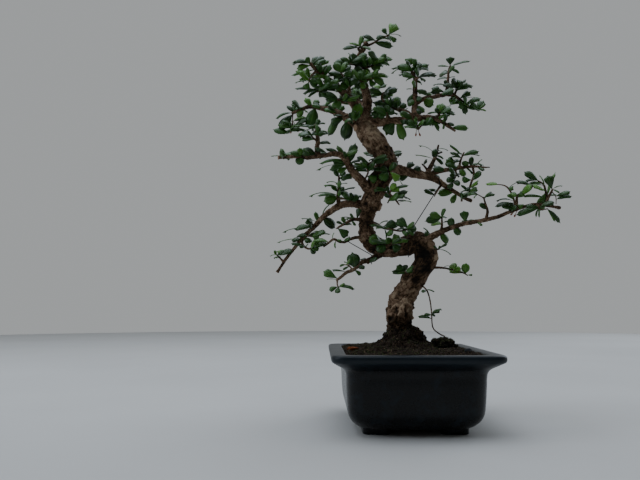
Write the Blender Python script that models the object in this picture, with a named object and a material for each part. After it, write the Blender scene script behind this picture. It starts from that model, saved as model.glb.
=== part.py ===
"""Bonsai tree in a pot: a shrub trained as an informal upright, with its soil, guy wires and pot.

Every point is drawn on the front elevation in millimetres, as (x, depth, z, radius), from the
middle of the pot's foot. at_depth() then moves it along the line of sight to its own depth, so
the outline seen from the front stays the one drawn here however deep the crown is.
"""

import math
import random

import bmesh
import bpy
from mathutils import Matrix, Vector
from mathutils.bvhtree import BVHTree

MM = 0.001
GAP = 0.3  # clearance between neighbouring pieces, mm
VIEWPOINT = Vector((-88.7, -698.5, 118.5))
SEED = 7

# ---------------------------------------------------------------- pot, mm
POT_MIDDLE = 3  # the pot's middle in x; the elevation's zero is under the trunk
POT_FLOOR = -2.4  # what its feet stand on
POT_END = 24  # how much longer than wide the pot is, at each end
# (z, half width, corner radius), outside from the floor up, then inside down
POT_OUTSIDE = [
    (3.2, 51, 16), (4.6, 54.6, 18), (8, 59.3, 20), (13, 63.2, 21), (21, 65.5, 21), (42, 66.8, 20),
    (53, 67, 18), (57.5, 67.9, 17), (60.5, 70.2, 16), (63, 74, 15.5), (65.4, 77.8, 15),
    (67.4, 80.6, 14.3), (69, 81.3, 14), (71.8, 81.3, 14), (73.3, 80.6, 13.5), (74, 79, 13),
]
POT_INSIDE = [
    (74, 68, 11), (73, 66.8, 10.5), (58, 64.2, 12), (26, 62, 18), (13, 58.5, 17), (8, 50, 14),
]
FOOT_SIZE = (27, 33, 6.2)
FOOT_AT = (37.5, 53)
DRAIN_HOLE_RADIUS = 6.5
DRAIN_HOLE_AT = 38
SOIL_TOP = 71.0  # where the soil meets the pot's wall
SOIL_HALF = 66.0
SOIL_DOME = 6.0
MOUND = (-4, 16, 21, 23)  # middle in x from the pot's, height, and spread in x and y
SOIL_RINGS = (0.9, 0.7, 0.52, 0.38, 0.27, 0.16)

# ---------------------------------------------------------------- wood, mm
TRUNK = [
    (-2, 0, 56, 12), (-2, 0, 70, 15), (-2, 0, 84, 16.4), (-3.4, 0, 97, 12.9), (-4, 0, 106, 14.7),
    (-3, 0, 115, 15.4), (-0.5, 0, 125, 14), (5, 0, 136, 12.6), (12.5, -1, 147, 12.2),
    (20, -2, 158, 11.6), (25.5, -2, 169, 12.3), (25, -1, 180, 12.6), (17, 0, 187, 12.2),
    (5, 2, 184.5, 10.6), (-9, 3, 182, 10.2), (-22, 4, 182, 10.4), (-33, 4, 188, 10.2),
    (-38, 4, 199, 9), (-38.5, 4, 211, 8.2), (-37, 4, 221, 8.8), (-33.5, 3, 231, 10.6),
    (-30, 2, 242, 10.4), (-24.5, 1, 254, 11.4), (-17.5, 0, 266, 12), (-15.5, -1, 278, 11.5),
    (-21, -2, 290, 11.3), (-30, -3, 301, 12.2), (-38, -3, 311, 11.2), (-41.5, -1, 321, 8.2),
    (-38, 0, 333, 6.2), (-36, 1, 345, 5.2), (-38, 2, 357, 4.7), (-42, 2, 369, 4.3),
    (-46, 2, 381, 3.9), (-46, 1, 392, 3.6), (-43, 0, 401, 3.3), (-39, -1, 408, 3.1),
    (-36.5, -1, 413.5, 2.7),
]
TRUNK_ROUTES = [
    TRUNK,
    [(24, -3, 184, 6), (29, -7, 185, 5.6), (31.5, -9.5, 185.5, 5)],
    [(17, 0, 189, 7), (19, 0, 196, 6), (20, 0, 199.5, 4.5)],
    [(-31, 3, 231, 7), (-25, 1, 227.5, 6), (-22.5, 0, 226.5, 4)],
    [(-39, -4, 313, 7), (-47, -9, 315, 4.6), (-50, -11, 315.5, 4)],
    [(-3, 0, 92, 9), (-12, -3, 88, 6.5), (-18, -5, 82, 4.2), (-22, -6, 76, 3.2)],
    [(0, 0, 96, 9), (11, -3, 92, 7.5), (19, -6, 84, 5), (23, -8, 75, 3.5)],
    [(-2, 3, 92, 9), (-4, 14, 86, 6.5), (-5, 22, 77, 4)],
    [(-2, -3, 92, 9), (2, -14, 86, 6.5), (5, -22, 77, 4)],
]

# name: (what it grows from, its stem and twigs, its leaves, how many more leaves fill it out)
# A leaf is (base x, base z, tip x, tip z, width, turn towards the viewer in degrees).
LIMBS = {
    "branch_right_long": ("trunk", [
        [(12, -1, 188, 4.8), (22, -4, 190, 4.6), (30, -7, 193, 4.2), (38, -9, 197, 3.6),
         (46, -12, 201, 3.0), (56, -15, 205, 2.7), (68, -18, 208.5, 2.5), (80, -21, 210.5, 2.4),
         (93, -24, 213, 2.3), (106, -27, 216.5, 2.1), (118, -29, 221.5, 2.0),
         (130, -31, 226, 1.9), (141, -33, 229, 1.8), (149, -34, 230, 1.7), (158, -35, 228.5, 1.6),
         (167, -36, 227, 1.5), (171, -36, 226.3, 2.0), (174, -36, 226, 1.5)],
        [(43, -11, 200, 1.5), (44, -14, 208, 1.3), (44, -16, 216, 1.0)],
    ], [
        (45, 216, 30, 219, 9, 70), (41, 216, 25, 211, 9, 75), (44, 216, 48, 226, 5, 55),
        (54, 204, 54, 215.5, 8, 80), (57, 204, 64, 196, 8, 75), (69, 210, 68, 223, 10, 75),
        (70, 210, 79, 214, 5, 35), (42, 198, 51, 187, 8, 70), (82, 209, 88, 206, 4, 40),
        (32, 195, 25, 199, 6, 55), (31, 196, 24, 205, 3, 30),
    ], 0),
    "spray_right_middle": ("branch_right_long", [
        [(92, -24, 212, 1.7), (93, -25, 217, 1.6), (94, -26, 223, 1.4), (92, -27, 230, 1.1),
         (90, -28, 238, 0.8)],
        [(90, -28, 237, 0.7), (85, -29, 240, 0.6), (81, -30, 242, 0.5)],
    ], [
        (93, 224, 86, 231, 6, 60), (90, 238, 103, 242, 5, 45), (84, 240, 79, 243, 2, 30),
        (84, 240, 79, 236.5, 2, 30),
    ], 0),
    "spray_right_outer": ("branch_right_long", [
        [(124, -30, 223, 1.9), (126, -31, 231, 1.6), (127, -32, 239, 1.2), (133, -33, 243, 1.1),
         (139, -34, 246.5, 1.0), (146, -35, 250.5, 0.8)],
        [(125, -31, 229, 1.2), (121, -33, 241, 1.0), (117, -34, 248, 0.9), (112, -35, 251, 0.7),
         (105, -35, 252, 0.5)],
    ], [
        (124, 231, 102, 228, 6, 45), (125, 229, 115, 226, 9, 70), (124, 233, 104, 236, 4, 20),
        (124, 234, 117, 241, 5, 40), (126, 229, 133, 227, 7, 60), (127, 237, 134, 243, 7, 65),
        (120, 243, 126, 238, 7, 50), (118, 248, 132, 257, 2.4, 10), (117, 248, 123, 247, 6, 60),
    ], 0),
    "spray_right_end": ("branch_right_long", [
        [(158, -35, 229, 1.2), (159, -35, 232, 1.7), (160, -35, 236, 1.6),
         (164, -36, 243, 1.2), (166, -36, 247, 0.9)],
        [(160, -35, 235, 1.4), (158, -34, 245, 1.2), (156, -33, 252, 1.0), (150, -32, 256, 0.8)],
        [(165, -36, 244, 0.5), (169, -37, 238, 0.5), (169, -38, 230, 0.5)],
    ], [
        (158, 243, 149, 221, 10, 75), (159, 236, 132, 239, 5, 40), (151, 256, 135, 266, 8, 60),
        (155, 253, 140, 254, 5, 35), (151, 256, 136, 257, 5, 30), (165, 246, 161, 262, 10, 80),
        (158, 248, 153, 263, 3, 30), (160, 237, 170, 266, 5, 45), (166, 247, 174, 243, 3, 40),
        (165, 247, 177, 251, 3, 20),
    ], 0),
    "spray_right_under": ("branch_right_long", [
        [(150, -34, 230.5, 1.2), (150, -37, 226, 1.0), (153, -40, 224, 0.8), (160, -41, 225, 0.7)],
    ], [
        (151, 226, 125, 219, 7, 60), (160, 225, 174, 209, 5, 65), (159, 225, 169, 211, 4, 50),
        (150, 226, 146, 216, 2.4, 50), (151, 225, 150, 215, 2.4, 50),
    ], 0),
    "branch_right_middle": ("trunk", [
        [(-14, 2, 270, 5.6), (-6, 4, 269, 5.4), (2, 8, 267, 5.2), (10, 11, 265, 5.0),
         (20, 15, 263, 4.8), (28, 18, 261.5, 4.5), (36, 21, 258.5, 3.9), (42, 23, 255, 3.4),
         (48, 25, 250.5, 3.0), (55, 28, 246, 2.6), (63, 31, 241, 2.3), (70, 33, 236.5, 2.2),
         (77, 35, 233.5, 2.2)],
        [(45, 24, 252, 1.2), (40, 22, 245, 0.9), (36, 21, 238, 0.6)],
        [(66, 32, 239, 1.0), (66, 31, 233, 1.3)],
    ], [
        (6, 267, 13, 278, 9, 65), (11, 267, 22, 272, 8, 60), (12, 264, -3, 258, 9, 70),
        (57, 242, 40, 242, 9, 75), (60, 241, 54, 231, 7, 70),
    ], 4),
    "spray_fork_up": ("branch_right_middle branch_right_fork", [
        [(28, 18, 262, 2.8), (32, 21, 270, 2.6), (36, 26, 278, 2.2), (39, 30, 285, 1.8),
         (42, 35, 296, 1.1)],
        [(40, 31, 286, 1.1), (46, 33, 288, 1.0)],
        [(30, 19, 267, 1.4), (26, 20, 272, 1.1), (23, 20, 275, 0.8)],
    ], [
        (37, 280, 38, 293, 7, 75), (38, 284, 21, 297, 2.6, 10), (37, 280, 15, 285, 3, 15),
        (38, 282, 48, 275, 6, 50), (41, 292, 53, 291, 3, 15), (39, 284, 48, 281, 4, 40),
    ], 0),
    "branch_right_fork": ("branch_right_middle", [
        [(29, 17, 262, 3.0), (40, 14, 266, 2.7), (50, 11, 268, 2.4), (60, 9, 269.5, 2.1),
         (70, 7, 271, 1.8), (80, 6, 272, 1.5), (90, 4, 271, 1.1), (98, 3, 271, 0.6)],
        [(64, 8, 270, 1.4), (66, 6, 279, 1.2), (70, 3, 288, 0.8)],
        [(79, 6, 272, 1.3), (80, 5, 262, 1.4), (77, 4, 254, 1.3), (75, 3, 247, 1.2),
         (75, 2, 239, 0.8)],
        [(60, 9, 270, 1.3), (60, 7, 262, 1.1), (57, 5, 254, 0.9)],
    ], [
        (50, 268, 35, 270, 8, 60), (62, 270, 50, 280, 11, 75), (71, 271, 71, 278, 8, 80),
        (77, 271, 78, 284, 6, 75), (67, 284, 54, 297, 5, 35), (67, 281, 55, 289, 5, 40),
        (68, 285, 88, 284, 3, 15), (83, 272, 89, 281, 3, 20), (84, 271, 92, 267, 5, 45),
        (70, 270, 80, 264, 5, 30), (65, 270, 70, 260, 8, 60), (77, 257, 67, 257, 8, 60),
        (75, 243, 66, 252, 4, 50), (76, 249, 71, 245, 6, 60), (59, 259, 50, 255, 8, 60),
        (58, 256, 64, 251, 7, 60), (57, 254, 52, 247, 7, 60), (60, 262, 54, 262, 6, 60),
    ], 4),
    "branch_left_middle": ("trunk", [
        [(-37, 3, 226, 4.9), (-46, 6, 230, 4.6), (-56, 10, 231, 4.4), (-66, 14, 229, 4.0),
         (-76, 18, 223, 3.6), (-85, 22, 216, 3.2), (-92, 25, 208.5, 2.9), (-100, 28, 200.5, 2.6),
         (-108, 31, 193, 2.4), (-114, 33, 185, 2.1), (-121, 35, 176, 1.9), (-127, 37, 168, 1.8),
         (-132, 39, 160, 1.6), (-135, 40, 155.5, 2.2)],
        [(-128, 37, 167, 1.5), (-132, 36, 171, 1.1), (-136, 35, 175, 0.8)],
    ], [
        (-91, 210, -94, 222, 6, 65), (-92, 210, -109, 216, 3, 12), (-95, 206, -103, 214, 10, 60),
        (-96, 205, -117, 203, 8, 50), (-99, 202, -130, 200, 4, 10), (-86, 215, -71, 204, 11, 70),
        (-87, 214, -80, 231, 3.4, 25), (-135, 174, -143, 174, 2.4, 15),
        (-135, 174, -129, 179, 5, 50), (-136, 175, -138, 179, 4, 60),
    ], 0),
    "spray_left_low": ("branch_left_middle", [
        [(-109, 31, 192, 1.7), (-107, 27, 185, 1.4), (-101, 24, 181, 1.2), (-95, 22, 184, 1.0)],
        [(-108, 30, 190, 1.4), (-103, 23, 195, 1.2), (-96, 19, 194, 0.9)],
    ], [
        (-107, 191, -120, 191, 8, 45), (-107, 192, -136, 188, 3, 12), (-104, 194, -100, 187, 9, 60),
        (-98, 194, -89, 197, 10, 60), (-96, 194, -77, 198, 4, 25), (-97, 193, -86, 184, 11, 70),
        (-98, 183, -95, 175, 6, 75), (-99, 182, -90, 181, 8, 60), (-104, 183, -111, 184, 5, 50),
    ], 2),
    "spray_left_upright": ("branch_left_middle", [
        [(-68, 14, 229, 2.3), (-69, 10, 239, 1.9), (-68, 5, 250, 1.6), (-68, 1, 262, 1.1)],
        [(-69, 11, 236, 1.3), (-62, 7, 236, 1.1), (-55, 4, 234, 0.9)],
    ], [
        (-69, 240, -101, 242, 3, 12), (-69, 239, -92, 239, 5, 40), (-69, 238, -85, 233, 12, 75),
        (-68, 243, -76, 251, 6, 50), (-68, 242, -50, 250, 4, 25), (-68, 252, -82, 255, 3, 10),
        (-68, 250, -58, 253, 3, 12), (-68, 260, -73, 269, 7, 60), (-60, 236, -52, 241, 8, 60),
        (-56, 234, -46, 239, 9, 60), (-62, 236, -64, 245, 8, 60), (-68, 246, -62, 247, 6, 50),
        (-68, 261, -60, 266, 6, 50),
    ], 3),
    "spray_left_inner": ("trunk", [
        [(-38, 2, 211, 2.4), (-46, -2, 213, 2.1), (-53, -6, 213, 1.8), (-60, -10, 209.5, 1.6),
         (-67, -14, 205.5, 1.3), (-71, -17, 203, 0.9)],
    ], [
        (-70, 204, -58, 195, 10, 75), (-52, 213, -66, 217, 3, 15), (-48, 213, -46, 226, 7, 60),
        (-52, 213, -56, 220, 4, 45), (-54, 212, -50, 206, 4, 45), (-63, 208, -71, 211, 4, 45),
    ], 0),
    "spray_left_wired": ("trunk", [
        [(-37, 4, 193, 2.2), (-48, -2, 193.5, 1.9), (-55, -6, 192, 1.7), (-62, -10, 188.5, 1.6),
         (-68, -13, 189, 1.5), (-74, -16, 191.5, 1.4), (-80, -19, 187, 1.2), (-85, -22, 183, 0.9)],
    ], [
        (-72, 191, -65, 190, 4, 40), (-75, 191, -74, 199, 2.2, 20), (-71, 190, -73, 182, 2.4, 40),
        (-82, 186, -90, 187, 5, 50),
    ], 0),
    "branch_low_left": ("trunk", [
        [(-22, 2, 178, 4.4), (-30, -5, 171, 3.3), (-36, -9, 168.5, 2.8), (-43, -13, 166.5, 2.3),
         (-48, -17, 162, 2.0), (-53, -21, 158, 1.9), (-60, -25, 155.5, 1.8), (-66, -29, 150.5, 1.6),
         (-71, -33, 147, 1.3)],
        [(-36, -9, 169, 1.8), (-37, -11, 165, 1.4)],
        [(-53, -21, 158, 1.0), (-58, -23, 163, 0.8), (-63, -24, 164, 0.6)],
        [(-70, -32, 148, 1.0), (-70, -33, 142, 0.8), (-68, -34, 139, 0.7)],
    ], [
        (-51, 160, -54, 178, 14, 85), (-69, 148, -85, 157, 9, 75), (-52, 158, -44, 153, 5, 60),
        (-48, 162, -40, 161, 6, 50), (-71, 147, -82, 148, 2.2, 12), (-61, 164, -67, 163, 3, 40),
        (-58, 161, -64, 159, 3, 50), (-69, 140, -79, 137, 6, 60), (-69, 140, -51, 139, 5, 45),
        (-68, 139, -62, 144, 3, 55), (-69, 140, -70, 134, 6, 75),
    ], 0),
    "branch_left_shelf": ("trunk", [
        [(-29, 2, 242, 5.6), (-38, -3, 249, 5.2), (-44, -7, 257, 4.8), (-50, -11, 263, 4.4),
         (-56, -14, 271, 4.0), (-60, -17, 279, 3.6), (-66, -21, 284.5, 3.2), (-74, -25, 286, 2.8),
         (-84, -29, 284, 2.4), (-95, -33, 282.5, 2.1), (-104, -36, 281.5, 2.0),
         (-113, -38, 283, 1.9), (-124, -41, 282.5, 1.8), (-131, -42, 282, 1.7),
         (-135, -43, 282, 2.4)],
        [(-41, -5, 255, 1.2), (-36, -13, 265, 1.0), (-37, -17, 273, 0.9), (-27, -19, 280, 0.6)],
    ], [
        (-94, 283, -128, 288, 9, 50), (-92, 283, -107, 293, 8, 60), (-84, 284, -106, 286, 8, 45),
        (-78, 285, -98, 285, 5, 25), (-106, 282, -115, 276, 9, 75), (-108, 282, -123, 284, 5, 40),
        (-110, 283, -111, 293, 7, 60), (-64, 283, -83, 292, 6, 45), (-57, 274, -50, 299, 10, 70),
        (-60, 279, -70, 296, 7, 50), (-52, 266, -33, 277, 9, 45), (-37, 268, -45, 277, 5, 50),
        (-39, 262, -26, 257, 10, 70), (-60, 279, -90, 277, 5, 40), (-58, 275, -79, 269, 8, 60),
        (-57, 272, -93, 272, 2.4, 8), (-51, 264, -66, 257, 6, 60), (-56, 271, -70, 266, 8, 60),
    ], 8),
    "spray_shelf_upright": ("branch_left_shelf", [
        [(-90, -31, 283, 2.8), (-92, -32, 292, 2.6), (-91, -32, 300, 2.3), (-92, -31, 309, 2.0),
         (-94, -30, 319, 1.5)],
        [(-91, -32, 299, 1.2), (-96, -33, 304, 0.9), (-100, -34, 309, 0.7)],
    ], [
        (-93, 314, -107, 311, 3, 12), (-92, 311, -80, 311, 4, 25), (-93, 318, -83, 322, 4, 30),
        (-92, 312, -87, 306, 5, 60), (-93, 317, -90, 325, 6, 60), (-93, 318, -101, 316, 5, 50),
    ], 2),
    "branch_crown_left": ("trunk", [
        [(-39, -2, 317, 5.6), (-50, 3, 321, 5.0), (-58, 7, 326, 4.6), (-67, 11, 331, 4.0),
         (-76, 15, 335, 3.5), (-85, 18, 337, 3.1), (-93, 21, 339, 2.8), (-102, 24, 339, 2.4),
         (-112, 27, 335, 2.1), (-120, 30, 331.5, 1.6)],
        [(-119, 30, 331, 0.8), (-119, 29, 323, 0.6), (-118, 28, 317, 0.6), (-115, 28, 312, 0.5)],
        [(-119, 29, 321, 0.6), (-120, 28, 315, 0.5), (-123, 27, 309, 0.5)],
        [(-52, 4, 322, 1.8), (-52, -10, 323, 1.3), (-51, -18, 324, 0.9)],
    ], [
        (-119, 332, -138, 328, 5, 35), (-118, 333, -126, 341, 6, 50), (-118, 333, -117, 346, 6, 65),
        (-119, 331, -134, 313, 11, 75), (-107, 337, -114, 327, 8, 60), (-104, 338, -118, 336, 5, 30),
        (-118, 314, -113, 311, 2.4, 50), (-121, 312, -126, 309, 2.4, 50), (-98, 339, -105, 350, 8, 60),
        (-96, 339, -91, 348, 8, 60), (-94, 338, -101, 313, 14, 80), (-84, 337, -76, 349, 8, 50),
        (-86, 337, -96, 344, 7, 60), (-58, 326, -74, 331, 5, 20), (-56, 325, -62, 301, 14, 80),
        (-66, 330, -80, 306, 9, 70), (-60, 327, -77, 321, 10, 70), (-51, 324, -44, 345, 12, 85),
        (-70, 333, -62, 341, 8, 60), (-77, 335, -72, 342, 8, 60), (-50, 321, -42, 330, 7, 50),
    ], 6),
    "branch_crown_upper_left": ("trunk", [
        [(-40, -1, 322, 5.6), (-46, -8, 334, 5.0), (-53, -13, 345, 4.6), (-62, -18, 355, 4.2),
         (-70, -22, 363, 3.8), (-78, -26, 369, 3.3), (-86, -30, 376, 2.8), (-94, -34, 383, 2.3),
         (-100, -37, 389.5, 1.7)],
        [(-92, -33, 381, 1.4), (-99, -35, 374, 1.1), (-101, -36, 367, 0.9)],
        [(-74, -24, 366, 1.5), (-84, -30, 360, 1.2), (-92, -34, 356, 0.9)],
        [(-58, -16, 351, 1.8), (-56, -24, 360, 1.5), (-60, -30, 370, 1.2), (-66, -34, 379, 0.9)],
        [(-56, -15, 348, 1.6), (-63, -24, 345, 1.3), (-70, -30, 348, 1.0)],
    ], [
        (-99, 388, -118, 393, 6, 50), (-99, 388, -104, 396, 6, 70), (-98, 387, -84, 398, 8, 50),
        (-97, 386, -92, 398, 9, 60), (-95, 384, -78, 393, 7, 45), (-98, 386, -115, 384, 8, 55),
        (-99, 387, -120, 388, 3, 12), (-93, 382, -121, 375, 6, 35), (-100, 371, -112, 372, 4, 40),
        (-101, 368, -105, 360, 8, 75), (-100, 369, -88, 369, 8, 60), (-101, 368, -117, 366, 3, 12),
        (-100, 370, -92, 362, 8, 60), (-91, 357, -117, 361, 6, 30), (-88, 358, -108, 356, 7, 30),
        (-86, 359, -103, 351, 6, 30), (-80, 362, -90, 350, 8, 60), (-65, 377, -73, 391, 10, 65),
        (-65, 378, -58, 391, 9, 60), (-63, 374, -52, 380, 9, 60), (-61, 371, -74, 376, 10, 65),
        (-58, 365, -50, 370, 9, 60), (-57, 362, -67, 364, 10, 65), (-70, 347, -82, 352, 9, 60),
        (-66, 346, -72, 338, 9, 70), (-64, 345, -56, 352, 9, 60), (-84, 375, -81, 388, 9, 60),
    ], 12),
    "branch_crown_right": ("trunk", [
        [(-40, -1, 323, 5.8), (-28, -7, 322, 5.2), (-16, -13, 322, 4.7), (-4, -18, 323.5, 4.4),
         (8, -22, 324, 4.1), (16, -25, 325, 3.9), (24, -27, 326.5, 3.3), (33, -30, 327, 2.8),
         (40, -32, 325, 2.4), (47, -34, 321.5, 2.1), (54, -36, 316.5, 1.7), (61, -38, 311.5, 1.2)],
        [(40, -32, 325, 1.6), (43, -33, 330, 1.3), (45, -34, 334, 0.9)],
        [(17, -25, 325, 2.4), (18, -27, 318, 1.7), (20, -28, 313, 1.1)],
        [(20, -28, 314, 1.0), (24, -29, 318, 0.8), (28, -29, 320, 0.7)],
        [(-16, -13, 322, 1.8), (-14, -20, 329, 1.5), (-18, -25, 335, 1.1)],
    ], [
        (38, 326, 29, 323, 8, 60), (32, 326, 44, 312, 5, 60), (47, 321, 48, 314, 3, 45),
        (46, 322, 52, 326, 4, 40), (50, 320, 61, 319, 5, 50), (56, 315, 76, 315, 7, 65),
        (44, 331, 47, 344, 11, 78), (44, 332, 62, 331, 5, 45), (44, 333, 57, 337, 4, 30),
        (43, 330, 39, 338, 5, 60), (45, 333, 57, 341, 3, 12), (-5, 323, -16, 309, 14, 80),
        (-3, 323, 4, 301, 10, 80), (-2, 323, 14, 316, 4, 40), (-6, 323, 4, 315, 7, 60),
        (-10, 322, -17, 307, 5, 50), (-16, 333, -28, 337, 8, 60), (-15, 331, -6, 336, 9, 60),
        (-16, 333, -12, 341, 9, 60), (-22, 322, -28, 331, 9, 60), (-17, 334, -24, 327, 9, 60),
    ], 5),
    "spray_crown_inner": ("branch_crown_right branch_crown_upright", [
        [(15, -23, 326, 3.0), (8, -18, 332, 2.8), (-1, -12, 336, 2.5), (-10, -7, 340, 2.1),
         (-17, -5, 344, 1.8), (-20, -5, 350, 1.5), (-18, -7, 356, 1.1)],
    ], [
        (-18, 354, -7, 361, 8, 55), (-19, 353, -27, 359, 7, 60), (-19, 352, -30, 353, 5, 40),
        (-18, 355, -9, 354, 3, 20), (-8, 339, -17, 345, 7, 60), (-1, 336, 7, 343, 8, 60),
        (-3, 337, -4, 345, 9, 65), (4, 334, 9, 338, 3, 15), (-14, 342, -28, 344, 6, 50),
        (-19, 347, -28, 340, 7, 70), (-12, 341, -3, 342, 6, 50),
    ], 3),
    "branch_crown_upright": ("branch_crown_right", [
        [(17, -26, 327, 3.6), (16, -24, 336, 3.2), (17, -22, 347, 2.9), (17, -19, 358, 2.6),
         (17.5, -17, 368, 2.3), (16, -15, 375, 1.9), (13, -13, 381, 1.5), (11, -12, 385.5, 1.0)],
        [(16, -15, 375, 1.1), (18, -15, 383, 0.8)],
        [(17.5, -17, 370, 1.9), (21, -18, 373.5, 1.4)],
    ], [
        (11, 385, 13, 396, 13, 85), (12, 383, -9, 385, 5, 28), (12, 383, -10, 379, 3, 8),
        (12, 384, 23, 391, 3, 15), (13, 382, 17, 386, 3, 40), (20, 372.5, 42, 377, 7, 45),
        (17, 358, 7, 360, 3, 12), (17, 359, 25, 355, 6, 50), (17, 357, 32, 354, 7, 50),
        (17, 356, 8, 343, 6, 55), (17, 348, 9, 340, 7, 60), (17, 341, 28, 333, 6, 60),
        (16, 338, 23, 331, 7, 60), (17, 350, 24, 347, 7, 60),
    ], 2),
    "branch_crown_far_right": ("branch_crown_upright", [
        [(17, -21, 343, 2.6), (27, -14, 348.5, 2.4), (36, -6, 350, 2.4), (44, 2, 352, 2.4),
         (51, 9, 354, 2.5), (53, 12, 362, 2.1), (54, 15, 372, 1.6), (55, 18, 381, 1.3),
         (57, 20, 387, 0.9)],
        [(51, 9, 354, 2.2), (60, 14, 352, 2.1), (67, 19, 347, 1.8), (74, 23, 341.5, 1.5),
         (81, 27, 338, 1.2), (88, 31, 334.5, 0.8)],
        [(60, 14, 352, 1.5), (63, 12, 358, 1.2), (64, 10, 361, 0.9)],
    ], [
        (57, 386, 57, 397, 10, 85), (56, 385, 80, 392, 5, 32), (56, 385, 42, 386, 4, 30),
        (56, 383, 68, 379, 5, 45), (63, 360, 64, 371, 13, 80), (53, 362, 37, 366, 4, 22),
        (53, 362, 50, 370, 5, 50), (54, 371, 62, 374, 3, 12), (45, 352, 37, 361, 11, 75),
        (36, 350, 30, 354, 7, 60), (66, 348, 79, 357, 8, 65), (67, 347, 85, 350, 3, 12),
        (66, 348, 70, 336, 6, 70), (69, 345, 73, 330, 7, 70), (86, 336, 93, 347, 10, 75),
        (86, 335, 96, 335, 4, 35), (74, 341, 80, 345, 3, 40), (25, 348, 38, 341, 11, 75),
        (63, 359, 72, 364, 8, 55), (60, 352, 57, 345, 8, 60), (62, 351, 55, 357, 7, 50),
    ], 4),
    "spray_apex": ("trunk", [
        [(-39, -1, 409, 1.7), (-31, -4, 411.5, 1.3), (-22, -7, 417, 1.1), (-16, -9, 420, 1.0),
         (-11, -10, 422, 0.9)],
    ], [
        (-28, 412, -6, 409, 8, 70), (-14, 420, -26, 419, 6, 50), (-11, 421, -3, 436, 13, 78),
        (-13, 421, -18, 430, 6, 65), (-12, 421, -3, 414, 6, 60), (-12, 421, -2, 430, 5, 50),
        (-12, 421, 3, 421, 3, 12),
    ], 0),
    "spray_apex_left": ("trunk", [
        [(-43, 0, 403, 1.7), (-46, -6, 406, 1.3), (-42, -10, 409, 1.0)],
    ], [
        (-45, 407, -64, 406, 6, 45), (-43, 409, -56, 414, 5, 32), (-42, 408, -31, 405, 5, 35),
    ], 0),
    "spray_crown_front": ("trunk", [
        [(-46, 1, 384, 1.9), (-50, -9, 388, 1.6), (-57, -15, 388, 1.2)],
    ], [
        (-50, 388, -52, 402, 9, 80), (-54, 388, -64, 394, 4, 25), (-57, 388, -74, 390, 9, 60),
        (-56, 388, -60, 381, 9, 60), (-52, 388, -44, 394, 8, 60), (-50, 387, -44, 380, 9, 65),
    ], 2),
    "spray_crown_right": ("trunk", [
        [(-46, 1, 383, 1.8), (-38, -8, 384, 1.5), (-29, -14, 387, 1.3), (-22, -18, 393, 0.9)],
    ], [
        (-22, 393, -14, 400, 6, 70), (-22, 392, -7, 394, 5, 50), (-26, 389, -34, 395, 8, 60),
        (-25, 390, -36, 398, 3, 12), (-28, 387, -20, 390, 7, 60), (-23, 391, -10, 388, 5, 25),
        (-30, 387, -21, 382, 9, 70), (-33, 385, -22, 378, 6, 45), (-38, 384, -42, 390, 8, 60),
        (-36, 384, -33, 393, 8, 60), (-40, 384, -34, 377, 8, 65),
    ], 2),
    "spray_crown_middle": ("trunk", [
        [(-42, 1, 366, 1.9), (-37, -10, 370, 1.5), (-30, -18, 373, 1.1)],
        [(-37, -10, 370, 1.2), (-42, -20, 368, 1.0), (-46, -27, 371, 0.8)],
    ], [
        (-31, 373, -16, 366, 9, 60), (-35, 371, -28, 364, 8, 60), (-35, 371, -31, 379, 7, 50),
        (-43, 369, -49, 375, 9, 60), (-42, 368, -40, 360, 8, 60), (-45, 371, -54, 366, 9, 65),
        (-45, 371, -42, 379, 9, 65), (-42, 368, -50, 361, 9, 60), (-36, 371, -28, 357, 2.4, 30),
    ], 4),
    "spray_trunk_upper": ("trunk", [
        [(-26, 1, 244, 2.0), (-14, -11, 241, 1.6), (-8, -16, 237, 1.2), (-2, -20, 229, 0.8)],
        [(-13, -12, 240, 1.2), (-11, -18, 246, 0.9)],
        [(-11, -14, 239, 1.0), (-15, -17, 231, 0.8)],
    ], [
        (-11, 244, -6, 254, 7, 70), (-9, 238, 8, 245, 6, 60), (-8, 237, 11, 237, 3, 18),
        (-11, 243, -2, 248, 7, 60), (-12, 241, -16, 250, 6, 50), (-8, 237, 5, 241, 5, 40),
        (-11, 245, 9, 251, 5, 45), (-4, 231, 12, 233, 3, 12), (-11, 240, -18, 239, 6, 60),
    ], 1),
    "spray_trunk_middle": ("trunk", [
        [(-36, 2, 212, 1.9), (-26, -9, 207.5, 1.6), (-20, -15, 204, 1.4), (-10, -19, 202, 1.2),
         (0, -21, 200.5, 1.0), (9, -22, 203, 0.8)],
    ], [
        (-25, 207, -15, 213, 3, 18), (-18, 203, -5, 211, 11, 70), (8, 203, -5, 214, 11, 75),
        (8, 203, 17, 203, 8, 60), (-6, 202, 5, 204, 5, 25), (0, 200, 7, 196, 6, 55),
        (6, 202, 14, 196, 6, 55), (-19, 203, -16, 192, 3, 40), (-12, 202, -13, 195, 8, 60),
    ], 1),
    "spray_trunk_low": ("trunk", [
        [(-29, 3, 187, 1.8), (-24, -12, 187, 1.4), (-16, -17, 186, 1.1), (-9, -19, 186, 0.9)],
    ], [
        (-23, 187, -35, 195, 12, 70), (-18, 186, -27, 177, 11, 65), (-11, 186, -3, 196, 12, 70),
        (-10, 186, -2, 180, 11, 65), (-14, 186, -14, 194, 9, 60),
    ], 1),
    "spray_trunk_front": ("trunk", [
        [(-17, 0, 266, 1.8), (-14, -16, 267, 1.3), (-12, -21, 266, 0.9)],
    ], [
        (-14, 267, -22, 256, 11, 75), (-13, 267, -5, 277, 7, 60), (-12, 266, -2, 256, 9, 70),
        (-13, 266, 3, 251, 2.4, 12), (-14, 267, -23, 270, 9, 60),
    ], 0),
    "spray_shoulder": ("trunk", [
        [(30, -2, 180, 1.6), (38, -8, 180.5, 1.1), (41, -10, 181, 0.8)],
    ], [
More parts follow.
